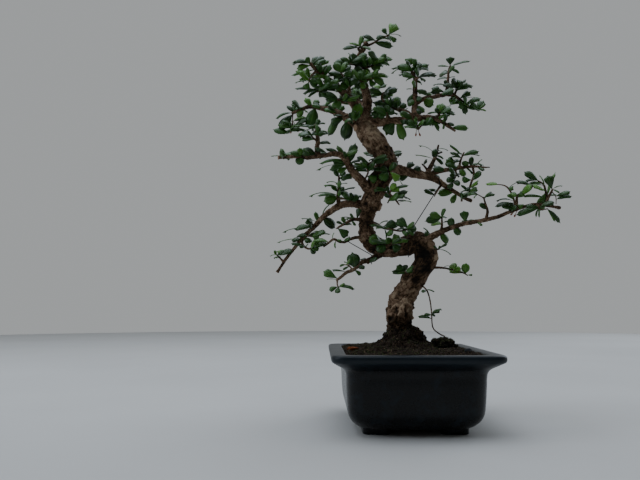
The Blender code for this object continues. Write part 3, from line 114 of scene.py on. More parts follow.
# name: (what it grows from, its stem and twigs, its leaves, how many more leaves fill it out)
# A leaf is (base x, base z, tip x, tip z, width, turn towards the viewer in degrees).
LIMBS = {
    "branch_right_long": ("trunk", [
        [(12, -1, 188, 4.8), (22, -4, 190, 4.6), (30, -7, 193, 4.2), (38, -9, 197, 3.6),
         (46, -12, 201, 3.0), (56, -15, 205, 2.7), (68, -18, 208.5, 2.5), (80, -21, 210.5, 2.4),
         (93, -24, 213, 2.3), (106, -27, 216.5, 2.1), (118, -29, 221.5, 2.0),
         (130, -31, 226, 1.9), (141, -33, 229, 1.8), (149, -34, 230, 1.7), (158, -35, 228.5, 1.6),
         (167, -36, 227, 1.5), (171, -36, 226.3, 2.0), (174, -36, 226, 1.5)],
        [(43, -11, 200, 1.5), (44, -14, 208, 1.3), (44, -16, 216, 1.0)],
    ], [
        (45, 216, 30, 219, 9, 70), (41, 216, 25, 211, 9, 75), (44, 216, 48, 226, 5, 55),
        (54, 204, 54, 215.5, 8, 80), (57, 204, 64, 196, 8, 75), (69, 210, 68, 223, 10, 75),
        (70, 210, 79, 214, 5, 35), (42, 198, 51, 187, 8, 70), (82, 209, 88, 206, 4, 40),
        (32, 195, 25, 199, 6, 55), (31, 196, 24, 205, 3, 30),
    ], 0),
    "spray_right_middle": ("branch_right_long", [
        [(92, -24, 212, 1.7), (93, -25, 217, 1.6), (94, -26, 223, 1.4), (92, -27, 230, 1.1),
         (90, -28, 238, 0.8)],
        [(90, -28, 237, 0.7), (85, -29, 240, 0.6), (81, -30, 242, 0.5)],
    ], [
        (93, 224, 86, 231, 6, 60), (90, 238, 103, 242, 5, 45), (84, 240, 79, 243, 2, 30),
        (84, 240, 79, 236.5, 2, 30),
    ], 0),
    "spray_right_outer": ("branch_right_long", [
        [(124, -30, 223, 1.9), (126, -31, 231, 1.6), (127, -32, 239, 1.2), (133, -33, 243, 1.1),
         (139, -34, 246.5, 1.0), (146, -35, 250.5, 0.8)],
        [(125, -31, 229, 1.2), (121, -33, 241, 1.0), (117, -34, 248, 0.9), (112, -35, 251, 0.7),
         (105, -35, 252, 0.5)],
    ], [
        (124, 231, 102, 228, 6, 45), (125, 229, 115, 226, 9, 70), (124, 233, 104, 236, 4, 20),
        (124, 234, 117, 241, 5, 40), (126, 229, 133, 227, 7, 60), (127, 237, 134, 243, 7, 65),
        (120, 243, 126, 238, 7, 50), (118, 248, 132, 257, 2.4, 10), (117, 248, 123, 247, 6, 60),
    ], 0),
    "spray_right_end": ("branch_right_long", [
        [(158, -35, 229, 1.2), (159, -35, 232, 1.7), (160, -35, 236, 1.6),
         (164, -36, 243, 1.2), (166, -36, 247, 0.9)],
        [(160, -35, 235, 1.4), (158, -34, 245, 1.2), (156, -33, 252, 1.0), (150, -32, 256, 0.8)],
        [(165, -36, 244, 0.5), (169, -37, 238, 0.5), (169, -38, 230, 0.5)],
    ], [
        (158, 243, 149, 221, 10, 75), (159, 236, 132, 239, 5, 40), (151, 256, 135, 266, 8, 60),
        (155, 253, 140, 254, 5, 35), (151, 256, 136, 257, 5, 30), (165, 246, 161, 262, 10, 80),
        (158, 248, 153, 263, 3, 30), (160, 237, 170, 266, 5, 45), (166, 247, 174, 243, 3, 40),
        (165, 247, 177, 251, 3, 20),
    ], 0),
    "spray_right_under": ("branch_right_long", [
        [(150, -34, 230.5, 1.2), (150, -37, 226, 1.0), (153, -40, 224, 0.8), (160, -41, 225, 0.7)],
    ], [
        (151, 226, 125, 219, 7, 60), (160, 225, 174, 209, 5, 65), (159, 225, 169, 211, 4, 50),
        (150, 226, 146, 216, 2.4, 50), (151, 225, 150, 215, 2.4, 50),
    ], 0),
    "branch_right_middle": ("trunk", [
        [(-14, 2, 270, 5.6), (-6, 4, 269, 5.4), (2, 8, 267, 5.2), (10, 11, 265, 5.0),
         (20, 15, 263, 4.8), (28, 18, 261.5, 4.5), (36, 21, 258.5, 3.9), (42, 23, 255, 3.4),
         (48, 25, 250.5, 3.0), (55, 28, 246, 2.6), (63, 31, 241, 2.3), (70, 33, 236.5, 2.2),
         (77, 35, 233.5, 2.2)],
        [(45, 24, 252, 1.2), (40, 22, 245, 0.9), (36, 21, 238, 0.6)],
        [(66, 32, 239, 1.0), (66, 31, 233, 1.3)],
    ], [
        (6, 267, 13, 278, 9, 65), (11, 267, 22, 272, 8, 60), (12, 264, -3, 258, 9, 70),
        (57, 242, 40, 242, 9, 75), (60, 241, 54, 231, 7, 70),
    ], 4),
    "spray_fork_up": ("branch_right_middle branch_right_fork", [
        [(28, 18, 262, 2.8), (32, 21, 270, 2.6), (36, 26, 278, 2.2), (39, 30, 285, 1.8),
         (42, 35, 296, 1.1)],
        [(40, 31, 286, 1.1), (46, 33, 288, 1.0)],
        [(30, 19, 267, 1.4), (26, 20, 272, 1.1), (23, 20, 275, 0.8)],
    ], [
        (37, 280, 38, 293, 7, 75), (38, 284, 21, 297, 2.6, 10), (37, 280, 15, 285, 3, 15),
        (38, 282, 48, 275, 6, 50), (41, 292, 53, 291, 3, 15), (39, 284, 48, 281, 4, 40),
    ], 0),
    "branch_right_fork": ("branch_right_middle", [
        [(29, 17, 262, 3.0), (40, 14, 266, 2.7), (50, 11, 268, 2.4), (60, 9, 269.5, 2.1),
         (70, 7, 271, 1.8), (80, 6, 272, 1.5), (90, 4, 271, 1.1), (98, 3, 271, 0.6)],
        [(64, 8, 270, 1.4), (66, 6, 279, 1.2), (70, 3, 288, 0.8)],
        [(79, 6, 272, 1.3), (80, 5, 262, 1.4), (77, 4, 254, 1.3), (75, 3, 247, 1.2),
         (75, 2, 239, 0.8)],
        [(60, 9, 270, 1.3), (60, 7, 262, 1.1), (57, 5, 254, 0.9)],
    ], [
        (50, 268, 35, 270, 8, 60), (62, 270, 50, 280, 11, 75), (71, 271, 71, 278, 8, 80),
        (77, 271, 78, 284, 6, 75), (67, 284, 54, 297, 5, 35), (67, 281, 55, 289, 5, 40),
        (68, 285, 88, 284, 3, 15), (83, 272, 89, 281, 3, 20), (84, 271, 92, 267, 5, 45),
        (70, 270, 80, 264, 5, 30), (65, 270, 70, 260, 8, 60), (77, 257, 67, 257, 8, 60),
        (75, 243, 66, 252, 4, 50), (76, 249, 71, 245, 6, 60), (59, 259, 50, 255, 8, 60),
        (58, 256, 64, 251, 7, 60), (57, 254, 52, 247, 7, 60), (60, 262, 54, 262, 6, 60),
    ], 4),
    "branch_left_middle": ("trunk", [
        [(-37, 3, 226, 4.9), (-46, 6, 230, 4.6), (-56, 10, 231, 4.4), (-66, 14, 229, 4.0),
         (-76, 18, 223, 3.6), (-85, 22, 216, 3.2), (-92, 25, 208.5, 2.9), (-100, 28, 200.5, 2.6),
         (-108, 31, 193, 2.4), (-114, 33, 185, 2.1), (-121, 35, 176, 1.9), (-127, 37, 168, 1.8),
         (-132, 39, 160, 1.6), (-135, 40, 155.5, 2.2)],
        [(-128, 37, 167, 1.5), (-132, 36, 171, 1.1), (-136, 35, 175, 0.8)],
    ], [
        (-91, 210, -94, 222, 6, 65), (-92, 210, -109, 216, 3, 12), (-95, 206, -103, 214, 10, 60),
        (-96, 205, -117, 203, 8, 50), (-99, 202, -130, 200, 4, 10), (-86, 215, -71, 204, 11, 70),
        (-87, 214, -80, 231, 3.4, 25), (-135, 174, -143, 174, 2.4, 15),
        (-135, 174, -129, 179, 5, 50), (-136, 175, -138, 179, 4, 60),
    ], 0),
    "spray_left_low": ("branch_left_middle", [
        [(-109, 31, 192, 1.7), (-107, 27, 185, 1.4), (-101, 24, 181, 1.2), (-95, 22, 184, 1.0)],
        [(-108, 30, 190, 1.4), (-103, 23, 195, 1.2), (-96, 19, 194, 0.9)],
    ], [
        (-107, 191, -120, 191, 8, 45), (-107, 192, -136, 188, 3, 12), (-104, 194, -100, 187, 9, 60),
        (-98, 194, -89, 197, 10, 60), (-96, 194, -77, 198, 4, 25), (-97, 193, -86, 184, 11, 70),
        (-98, 183, -95, 175, 6, 75), (-99, 182, -90, 181, 8, 60), (-104, 183, -111, 184, 5, 50),
    ], 2),
    "spray_left_upright": ("branch_left_middle", [
        [(-68, 14, 229, 2.3), (-69, 10, 239, 1.9), (-68, 5, 250, 1.6), (-68, 1, 262, 1.1)],
        [(-69, 11, 236, 1.3), (-62, 7, 236, 1.1), (-55, 4, 234, 0.9)],
    ], [
        (-69, 240, -101, 242, 3, 12), (-69, 239, -92, 239, 5, 40), (-69, 238, -85, 233, 12, 75),
        (-68, 243, -76, 251, 6, 50), (-68, 242, -50, 250, 4, 25), (-68, 252, -82, 255, 3, 10),
        (-68, 250, -58, 253, 3, 12), (-68, 260, -73, 269, 7, 60), (-60, 236, -52, 241, 8, 60),
        (-56, 234, -46, 239, 9, 60), (-62, 236, -64, 245, 8, 60), (-68, 246, -62, 247, 6, 50),
        (-68, 261, -60, 266, 6, 50),
    ], 3),
    "spray_left_inner": ("trunk", [
        [(-38, 2, 211, 2.4), (-46, -2, 213, 2.1), (-53, -6, 213, 1.8), (-60, -10, 209.5, 1.6),
         (-67, -14, 205.5, 1.3), (-71, -17, 203, 0.9)],
    ], [
        (-70, 204, -58, 195, 10, 75), (-52, 213, -66, 217, 3, 15), (-48, 213, -46, 226, 7, 60),
        (-52, 213, -56, 220, 4, 45), (-54, 212, -50, 206, 4, 45), (-63, 208, -71, 211, 4, 45),
    ], 0),
    "spray_left_wired": ("trunk", [
        [(-37, 4, 193, 2.2), (-48, -2, 193.5, 1.9), (-55, -6, 192, 1.7), (-62, -10, 188.5, 1.6),
         (-68, -13, 189, 1.5), (-74, -16, 191.5, 1.4), (-80, -19, 187, 1.2), (-85, -22, 183, 0.9)],
    ], [
        (-72, 191, -65, 190, 4, 40), (-75, 191, -74, 199, 2.2, 20), (-71, 190, -73, 182, 2.4, 40),
        (-82, 186, -90, 187, 5, 50),
    ], 0),
    "branch_low_left": ("trunk", [
        [(-22, 2, 178, 4.4), (-30, -5, 171, 3.3), (-36, -9, 168.5, 2.8), (-43, -13, 166.5, 2.3),
         (-48, -17, 162, 2.0), (-53, -21, 158, 1.9), (-60, -25, 155.5, 1.8), (-66, -29, 150.5, 1.6),
         (-71, -33, 147, 1.3)],
        [(-36, -9, 169, 1.8), (-37, -11, 165, 1.4)],
        [(-53, -21, 158, 1.0), (-58, -23, 163, 0.8), (-63, -24, 164, 0.6)],
        [(-70, -32, 148, 1.0), (-70, -33, 142, 0.8), (-68, -34, 139, 0.7)],
    ], [
        (-51, 160, -54, 178, 14, 85), (-69, 148, -85, 157, 9, 75), (-52, 158, -44, 153, 5, 60),
        (-48, 162, -40, 161, 6, 50), (-71, 147, -82, 148, 2.2, 12), (-61, 164, -67, 163, 3, 40),
        (-58, 161, -64, 159, 3, 50), (-69, 140, -79, 137, 6, 60), (-69, 140, -51, 139, 5, 45),
        (-68, 139, -62, 144, 3, 55), (-69, 140, -70, 134, 6, 75),
    ], 0),
    "branch_left_shelf": ("trunk", [
        [(-29, 2, 242, 5.6), (-38, -3, 249, 5.2), (-44, -7, 257, 4.8), (-50, -11, 263, 4.4),
         (-56, -14, 271, 4.0), (-60, -17, 279, 3.6), (-66, -21, 284.5, 3.2), (-74, -25, 286, 2.8),
         (-84, -29, 284, 2.4), (-95, -33, 282.5, 2.1), (-104, -36, 281.5, 2.0),
         (-113, -38, 283, 1.9), (-124, -41, 282.5, 1.8), (-131, -42, 282, 1.7),
         (-135, -43, 282, 2.4)],
        [(-41, -5, 255, 1.2), (-36, -13, 265, 1.0), (-37, -17, 273, 0.9), (-27, -19, 280, 0.6)],
    ], [
        (-94, 283, -128, 288, 9, 50), (-92, 283, -107, 293, 8, 60), (-84, 284, -106, 286, 8, 45),
        (-78, 285, -98, 285, 5, 25), (-106, 282, -115, 276, 9, 75), (-108, 282, -123, 284, 5, 40),
        (-110, 283, -111, 293, 7, 60), (-64, 283, -83, 292, 6, 45), (-57, 274, -50, 299, 10, 70),
        (-60, 279, -70, 296, 7, 50), (-52, 266, -33, 277, 9, 45), (-37, 268, -45, 277, 5, 50),
        (-39, 262, -26, 257, 10, 70), (-60, 279, -90, 277, 5, 40), (-58, 275, -79, 269, 8, 60),
        (-57, 272, -93, 272, 2.4, 8), (-51, 264, -66, 257, 6, 60), (-56, 271, -70, 266, 8, 60),
    ], 8),
    "spray_shelf_upright": ("branch_left_shelf", [
        [(-90, -31, 283, 2.8), (-92, -32, 292, 2.6), (-91, -32, 300, 2.3), (-92, -31, 309, 2.0),
         (-94, -30, 319, 1.5)],
        [(-91, -32, 299, 1.2), (-96, -33, 304, 0.9), (-100, -34, 309, 0.7)],
    ], [
        (-93, 314, -107, 311, 3, 12), (-92, 311, -80, 311, 4, 25), (-93, 318, -83, 322, 4, 30),
        (-92, 312, -87, 306, 5, 60), (-93, 317, -90, 325, 6, 60), (-93, 318, -101, 316, 5, 50),
    ], 2),
    "branch_crown_left": ("trunk", [
        [(-39, -2, 317, 5.6), (-50, 3, 321, 5.0), (-58, 7, 326, 4.6), (-67, 11, 331, 4.0),
         (-76, 15, 335, 3.5), (-85, 18, 337, 3.1), (-93, 21, 339, 2.8), (-102, 24, 339, 2.4),
         (-112, 27, 335, 2.1), (-120, 30, 331.5, 1.6)],
        [(-119, 30, 331, 0.8), (-119, 29, 323, 0.6), (-118, 28, 317, 0.6), (-115, 28, 312, 0.5)],
        [(-119, 29, 321, 0.6), (-120, 28, 315, 0.5), (-123, 27, 309, 0.5)],
        [(-52, 4, 322, 1.8), (-52, -10, 323, 1.3), (-51, -18, 324, 0.9)],
    ], [
        (-119, 332, -138, 328, 5, 35), (-118, 333, -126, 341, 6, 50), (-118, 333, -117, 346, 6, 65),
        (-119, 331, -134, 313, 11, 75), (-107, 337, -114, 327, 8, 60), (-104, 338, -118, 336, 5, 30),
        (-118, 314, -113, 311, 2.4, 50), (-121, 312, -126, 309, 2.4, 50), (-98, 339, -105, 350, 8, 60),
        (-96, 339, -91, 348, 8, 60), (-94, 338, -101, 313, 14, 80), (-84, 337, -76, 349, 8, 50),
        (-86, 337, -96, 344, 7, 60), (-58, 326, -74, 331, 5, 20), (-56, 325, -62, 301, 14, 80),
        (-66, 330, -80, 306, 9, 70), (-60, 327, -77, 321, 10, 70), (-51, 324, -44, 345, 12, 85),
        (-70, 333, -62, 341, 8, 60), (-77, 335, -72, 342, 8, 60), (-50, 321, -42, 330, 7, 50),
    ], 6),
    "branch_crown_upper_left": ("trunk", [
        [(-40, -1, 322, 5.6), (-46, -8, 334, 5.0), (-53, -13, 345, 4.6), (-62, -18, 355, 4.2),
         (-70, -22, 363, 3.8), (-78, -26, 369, 3.3), (-86, -30, 376, 2.8), (-94, -34, 383, 2.3),
         (-100, -37, 389.5, 1.7)],
        [(-92, -33, 381, 1.4), (-99, -35, 374, 1.1), (-101, -36, 367, 0.9)],
        [(-74, -24, 366, 1.5), (-84, -30, 360, 1.2), (-92, -34, 356, 0.9)],
        [(-58, -16, 351, 1.8), (-56, -24, 360, 1.5), (-60, -30, 370, 1.2), (-66, -34, 379, 0.9)],
        [(-56, -15, 348, 1.6), (-63, -24, 345, 1.3), (-70, -30, 348, 1.0)],
    ], [
        (-99, 388, -118, 393, 6, 50), (-99, 388, -104, 396, 6, 70), (-98, 387, -84, 398, 8, 50),
        (-97, 386, -92, 398, 9, 60), (-95, 384, -78, 393, 7, 45), (-98, 386, -115, 384, 8, 55),
        (-99, 387, -120, 388, 3, 12), (-93, 382, -121, 375, 6, 35), (-100, 371, -112, 372, 4, 40),
        (-101, 368, -105, 360, 8, 75), (-100, 369, -88, 369, 8, 60), (-101, 368, -117, 366, 3, 12),
        (-100, 370, -92, 362, 8, 60), (-91, 357, -117, 361, 6, 30), (-88, 358, -108, 356, 7, 30),
        (-86, 359, -103, 351, 6, 30), (-80, 362, -90, 350, 8, 60), (-65, 377, -73, 391, 10, 65),
        (-65, 378, -58, 391, 9, 60), (-63, 374, -52, 380, 9, 60), (-61, 371, -74, 376, 10, 65),
        (-58, 365, -50, 370, 9, 60), (-57, 362, -67, 364, 10, 65), (-70, 347, -82, 352, 9, 60),
        (-66, 346, -72, 338, 9, 70), (-64, 345, -56, 352, 9, 60), (-84, 375, -81, 388, 9, 60),
    ], 12),
    "branch_crown_right": ("trunk", [
        [(-40, -1, 323, 5.8), (-28, -7, 322, 5.2), (-16, -13, 322, 4.7), (-4, -18, 323.5, 4.4),
         (8, -22, 324, 4.1), (16, -25, 325, 3.9), (24, -27, 326.5, 3.3), (33, -30, 327, 2.8),
         (40, -32, 325, 2.4), (47, -34, 321.5, 2.1), (54, -36, 316.5, 1.7), (61, -38, 311.5, 1.2)],
        [(40, -32, 325, 1.6), (43, -33, 330, 1.3), (45, -34, 334, 0.9)],
        [(17, -25, 325, 2.4), (18, -27, 318, 1.7), (20, -28, 313, 1.1)],
        [(20, -28, 314, 1.0), (24, -29, 318, 0.8), (28, -29, 320, 0.7)],
        [(-16, -13, 322, 1.8), (-14, -20, 329, 1.5), (-18, -25, 335, 1.1)],
    ], [
        (38, 326, 29, 323, 8, 60), (32, 326, 44, 312, 5, 60), (47, 321, 48, 314, 3, 45),
        (46, 322, 52, 326, 4, 40), (50, 320, 61, 319, 5, 50), (56, 315, 76, 315, 7, 65),
        (44, 331, 47, 344, 11, 78), (44, 332, 62, 331, 5, 45), (44, 333, 57, 337, 4, 30),
        (43, 330, 39, 338, 5, 60), (45, 333, 57, 341, 3, 12), (-5, 323, -16, 309, 14, 80),
        (-3, 323, 4, 301, 10, 80), (-2, 323, 14, 316, 4, 40), (-6, 323, 4, 315, 7, 60),
        (-10, 322, -17, 307, 5, 50), (-16, 333, -28, 337, 8, 60), (-15, 331, -6, 336, 9, 60),
        (-16, 333, -12, 341, 9, 60), (-22, 322, -28, 331, 9, 60), (-17, 334, -24, 327, 9, 60),
    ], 5),
    "spray_crown_inner": ("branch_crown_right branch_crown_upright", [
        [(15, -23, 326, 3.0), (8, -18, 332, 2.8), (-1, -12, 336, 2.5), (-10, -7, 340, 2.1),
         (-17, -5, 344, 1.8), (-20, -5, 350, 1.5), (-18, -7, 356, 1.1)],
    ], [
        (-18, 354, -7, 361, 8, 55), (-19, 353, -27, 359, 7, 60), (-19, 352, -30, 353, 5, 40),
        (-18, 355, -9, 354, 3, 20), (-8, 339, -17, 345, 7, 60), (-1, 336, 7, 343, 8, 60),
        (-3, 337, -4, 345, 9, 65), (4, 334, 9, 338, 3, 15), (-14, 342, -28, 344, 6, 50),
        (-19, 347, -28, 340, 7, 70), (-12, 341, -3, 342, 6, 50),
    ], 3),
    "branch_crown_upright": ("branch_crown_right", [
        [(17, -26, 327, 3.6), (16, -24, 336, 3.2), (17, -22, 347, 2.9), (17, -19, 358, 2.6),
         (17.5, -17, 368, 2.3), (16, -15, 375, 1.9), (13, -13, 381, 1.5), (11, -12, 385.5, 1.0)],
        [(16, -15, 375, 1.1), (18, -15, 383, 0.8)],
        [(17.5, -17, 370, 1.9), (21, -18, 373.5, 1.4)],
    ], [
        (11, 385, 13, 396, 13, 85), (12, 383, -9, 385, 5, 28), (12, 383, -10, 379, 3, 8),
        (12, 384, 23, 391, 3, 15), (13, 382, 17, 386, 3, 40), (20, 372.5, 42, 377, 7, 45),
        (17, 358, 7, 360, 3, 12), (17, 359, 25, 355, 6, 50), (17, 357, 32, 354, 7, 50),
        (17, 356, 8, 343, 6, 55), (17, 348, 9, 340, 7, 60), (17, 341, 28, 333, 6, 60),
        (16, 338, 23, 331, 7, 60), (17, 350, 24, 347, 7, 60),
    ], 2),
    "branch_crown_far_right": ("branch_crown_upright", [
        [(17, -21, 343, 2.6), (27, -14, 348.5, 2.4), (36, -6, 350, 2.4), (44, 2, 352, 2.4),
         (51, 9, 354, 2.5), (53, 12, 362, 2.1), (54, 15, 372, 1.6), (55, 18, 381, 1.3),
         (57, 20, 387, 0.9)],
        [(51, 9, 354, 2.2), (60, 14, 352, 2.1), (67, 19, 347, 1.8), (74, 23, 341.5, 1.5),
         (81, 27, 338, 1.2), (88, 31, 334.5, 0.8)],
        [(60, 14, 352, 1.5), (63, 12, 358, 1.2), (64, 10, 361, 0.9)],
    ], [
        (57, 386, 57, 397, 10, 85), (56, 385, 80, 392, 5, 32), (56, 385, 42, 386, 4, 30),
        (56, 383, 68, 379, 5, 45), (63, 360, 64, 371, 13, 80), (53, 362, 37, 366, 4, 22),
        (53, 362, 50, 370, 5, 50), (54, 371, 62, 374, 3, 12), (45, 352, 37, 361, 11, 75),
        (36, 350, 30, 354, 7, 60), (66, 348, 79, 357, 8, 65), (67, 347, 85, 350, 3, 12),
        (66, 348, 70, 336, 6, 70), (69, 345, 73, 330, 7, 70), (86, 336, 93, 347, 10, 75),
        (86, 335, 96, 335, 4, 35), (74, 341, 80, 345, 3, 40), (25, 348, 38, 341, 11, 75),
        (63, 359, 72, 364, 8, 55), (60, 352, 57, 345, 8, 60), (62, 351, 55, 357, 7, 50),
    ], 4),
    "spray_apex": ("trunk", [
        [(-39, -1, 409, 1.7), (-31, -4, 411.5, 1.3), (-22, -7, 417, 1.1), (-16, -9, 420, 1.0),
         (-11, -10, 422, 0.9)],
    ], [
        (-28, 412, -6, 409, 8, 70), (-14, 420, -26, 419, 6, 50), (-11, 421, -3, 436, 13, 78),
        (-13, 421, -18, 430, 6, 65), (-12, 421, -3, 414, 6, 60), (-12, 421, -2, 430, 5, 50),
        (-12, 421, 3, 421, 3, 12),
    ], 0),
    "spray_apex_left": ("trunk", [
        [(-43, 0, 403, 1.7), (-46, -6, 406, 1.3), (-42, -10, 409, 1.0)],
    ], [
        (-45, 407, -64, 406, 6, 45), (-43, 409, -56, 414, 5, 32), (-42, 408, -31, 405, 5, 35),
    ], 0),
    "spray_crown_front": ("trunk", [
        [(-46, 1, 384, 1.9), (-50, -9, 388, 1.6), (-57, -15, 388, 1.2)],
    ], [
        (-50, 388, -52, 402, 9, 80), (-54, 388, -64, 394, 4, 25), (-57, 388, -74, 390, 9, 60),
        (-56, 388, -60, 381, 9, 60), (-52, 388, -44, 394, 8, 60), (-50, 387, -44, 380, 9, 65),
    ], 2),
    "spray_crown_right": ("trunk", [
        [(-46, 1, 383, 1.8), (-38, -8, 384, 1.5), (-29, -14, 387, 1.3), (-22, -18, 393, 0.9)],
    ], [
        (-22, 393, -14, 400, 6, 70), (-22, 392, -7, 394, 5, 50), (-26, 389, -34, 395, 8, 60),
        (-25, 390, -36, 398, 3, 12), (-28, 387, -20, 390, 7, 60), (-23, 391, -10, 388, 5, 25),
        (-30, 387, -21, 382, 9, 70), (-33, 385, -22, 378, 6, 45), (-38, 384, -42, 390, 8, 60),
        (-36, 384, -33, 393, 8, 60), (-40, 384, -34, 377, 8, 65),
    ], 2),
    "spray_crown_middle": ("trunk", [
        [(-42, 1, 366, 1.9), (-37, -10, 370, 1.5), (-30, -18, 373, 1.1)],
        [(-37, -10, 370, 1.2), (-42, -20, 368, 1.0), (-46, -27, 371, 0.8)],
    ], [
        (-31, 373, -16, 366, 9, 60), (-35, 371, -28, 364, 8, 60), (-35, 371, -31, 379, 7, 50),
        (-43, 369, -49, 375, 9, 60), (-42, 368, -40, 360, 8, 60), (-45, 371, -54, 366, 9, 65),
        (-45, 371, -42, 379, 9, 65), (-42, 368, -50, 361, 9, 60), (-36, 371, -28, 357, 2.4, 30),
    ], 4),
    "spray_trunk_upper": ("trunk", [
        [(-26, 1, 244, 2.0), (-14, -11, 241, 1.6), (-8, -16, 237, 1.2), (-2, -20, 229, 0.8)],
        [(-13, -12, 240, 1.2), (-11, -18, 246, 0.9)],
        [(-11, -14, 239, 1.0), (-15, -17, 231, 0.8)],
    ], [
        (-11, 244, -6, 254, 7, 70), (-9, 238, 8, 245, 6, 60), (-8, 237, 11, 237, 3, 18),
        (-11, 243, -2, 248, 7, 60), (-12, 241, -16, 250, 6, 50), (-8, 237, 5, 241, 5, 40),
        (-11, 245, 9, 251, 5, 45), (-4, 231, 12, 233, 3, 12), (-11, 240, -18, 239, 6, 60),
    ], 1),
    "spray_trunk_middle": ("trunk", [
        [(-36, 2, 212, 1.9), (-26, -9, 207.5, 1.6), (-20, -15, 204, 1.4), (-10, -19, 202, 1.2),
         (0, -21, 200.5, 1.0), (9, -22, 203, 0.8)],
    ], [
        (-25, 207, -15, 213, 3, 18), (-18, 203, -5, 211, 11, 70), (8, 203, -5, 214, 11, 75),
        (8, 203, 17, 203, 8, 60), (-6, 202, 5, 204, 5, 25), (0, 200, 7, 196, 6, 55),
        (6, 202, 14, 196, 6, 55), (-19, 203, -16, 192, 3, 40), (-12, 202, -13, 195, 8, 60),
    ], 1),
    "spray_trunk_low": ("trunk", [
        [(-29, 3, 187, 1.8), (-24, -12, 187, 1.4), (-16, -17, 186, 1.1), (-9, -19, 186, 0.9)],
    ], [
        (-23, 187, -35, 195, 12, 70), (-18, 186, -27, 177, 11, 65), (-11, 186, -3, 196, 12, 70),
        (-10, 186, -2, 180, 11, 65), (-14, 186, -14, 194, 9, 60),
    ], 1),
    "spray_trunk_front": ("trunk", [
        [(-17, 0, 266, 1.8), (-14, -16, 267, 1.3), (-12, -21, 266, 0.9)],
    ], [
        (-14, 267, -22, 256, 11, 75), (-13, 267, -5, 277, 7, 60), (-12, 266, -2, 256, 9, 70),
        (-13, 266, 3, 251, 2.4, 12), (-14, 267, -23, 270, 9, 60),
    ], 0),
    "spray_shoulder": ("trunk", [
        [(30, -2, 180, 1.6), (38, -8, 180.5, 1.1), (41, -10, 181, 0.8)],
    ], [
        (40, 181, 54, 175, 3, 15), (40, 181, 42, 184, 3, 40), (38, 180.5, 36, 184, 3, 40),
    ], 0),
    "shoot_low_left": ("trunk", [
        [(12, -1, 152, 1.4), (5, -11, 154, 1.0), (3, -13, 157, 0.8)],
    ], [
        (4, 156, -6, 163, 8, 70), (4, 155, -5, 155, 3, 25), (3, 157, 3, 164, 7, 70),
    ], 0),
    "shoot_low_right": ("trunk", [
        [(28, -2, 161, 1.7), (43, -6, 160.5, 1.2), (52, -8, 159, 1.0), (60, -9, 157, 0.9),
         (67, -10, 154.5, 0.8), (71, -11, 152, 0.6)],
    ], [
        (50, 159, 60, 165, 6, 70), (55, 158, 64, 160, 6, 78), (68, 154, 69, 166, 9, 82),
        (70, 152, 76, 153, 3, 45), (44, 160, 53, 163, 2.2, 12),
    ], 0),
    "shoot_hanging": ("trunk", [
        [(18, -3, 143, 1.1), (25, -15, 138, 0.9), (28, -19, 132, 0.9), (30, -21, 123, 0.8),
         (31, -22, 112, 0.8), (32, -23, 97, 0.8), (38, -24, 90.5, 0.8), (45, -25, 87, 0.8)],
    ], [
        (26, 137, 21, 134, 4, 60), (26, 137, 35, 135, 3, 25), (31, 112, 39, 115, 5, 50),
        (31, 110, 23, 110, 4, 50), (31, 112, 35, 108, 3, 60),
    ], 0),
    "branch_crown_back": ("trunk", [
        [(-38, 1, 331, 4.4), (-42, 17, 338, 3.8), (-47, 33, 346, 3.2), (-53, 48, 353, 2.5),
         (-58, 61, 359, 1.6)],
        [(-45, 26, 343, 1.8), (-36, 38, 350, 1.4), (-32, 48, 358, 1.0)],
        [(-51, 42, 351, 1.6), (-60, 46, 345, 1.3), (-68, 50, 343, 0.9)],
    ], [], 22),
    "branch_back": ("trunk", [
        [(-18, 2, 262, 4.4), (-20, 20, 270, 3.6), (-22, 36, 277, 2.9), (-24, 50, 283, 2.2),
         (-26, 63, 289, 1.5)],
        [(-21, 28, 274, 1.6), (-14, 38, 280, 1.3), (-12, 48, 286, 0.9)],
    ], [], 12),
}

# guy wire: name, (x, depth, z, loop radius) round the lower limb, the same round the upper
# limb, wire radius
GUY_WIRES = [
    ("guy_wire_right", (7, 2, 184.8, 12.6), (42, 23, 255, 5.6), 0.5),
    ("guy_wire_left", (-33, -7, 169.8, 5.2), (-57, -7, 191.2, 3.4), 0.45),
]

# loose things lying on the soil: name, centre, half sizes, turn about Z in degrees
LOOSE = [
    ("soil_clod", (39, -24, 79), (12, 9, 6.4), 12),
    ("bark_chip", (-55, -22, 75.6), (5.6, 3.4, 2.0), 35),
    ("stone", (59, -45, 74.4), (4.0, 3.2, 2.6), 20),
]

# leaves that are this year's: (x, z, reach) of a bright patch on the elevation
FRESH = [
    (-45, 338, 8), (60, 160, 8), (129, 241, 6), (162, 257, 8), (45, 338, 7), (46, 240, 5),
    (31, 213, 5), (70, 166, 6), (12, 396, 5), (57, 396, 5), (-3, 434, 6), (93, 346, 4),
    (-108, 365, 7), (-104, 356, 5), (-8, 250, 6), (-3, 245, 5), (-44, 398, 5), (-30, 372, 7),
    (-112, 330, 5), (-96, 197, 7), (92, 248, 4), (-17, 373, 5), (-138, 181, 4), (84, 251, 4),
]
# lighter and darker stretches of bark, partly its own colour and partly painted highlights and painted
# shade where the light falls on the trunk: (x, z, reach, lightening, below 0 darkening)
BARK_TONES_AND_PAINTED_LIGHT = [
    (-30, 305, 14, 1.1), (-40, 316, 9, 0.5), (-14, 280, 10, -0.3), (4, 132, 13, 0.55),
    (2, 116, 9, 0.2), (-2, 84, 17, -1.5), (20, 177, 12, -0.9), (25, 162, 12, -0.85),
    (38, 172, 5, 2.2), (14.5, 147, 7, -0.9), (21, 150, 3.5, 0.9), (9, 113, 5, 0.8), (-14, 108, 7, -0.4),
    (4, 188, 14, -0.5), (-28, 182, 14, -0.6),
    (-36, 215, 14, -0.2), (-22, 260, 10, -0.9), (-30, 240, 10, -0.1), (-56, 166, 11, 1.0),
    (-70, 153, 10, 1.1),
]
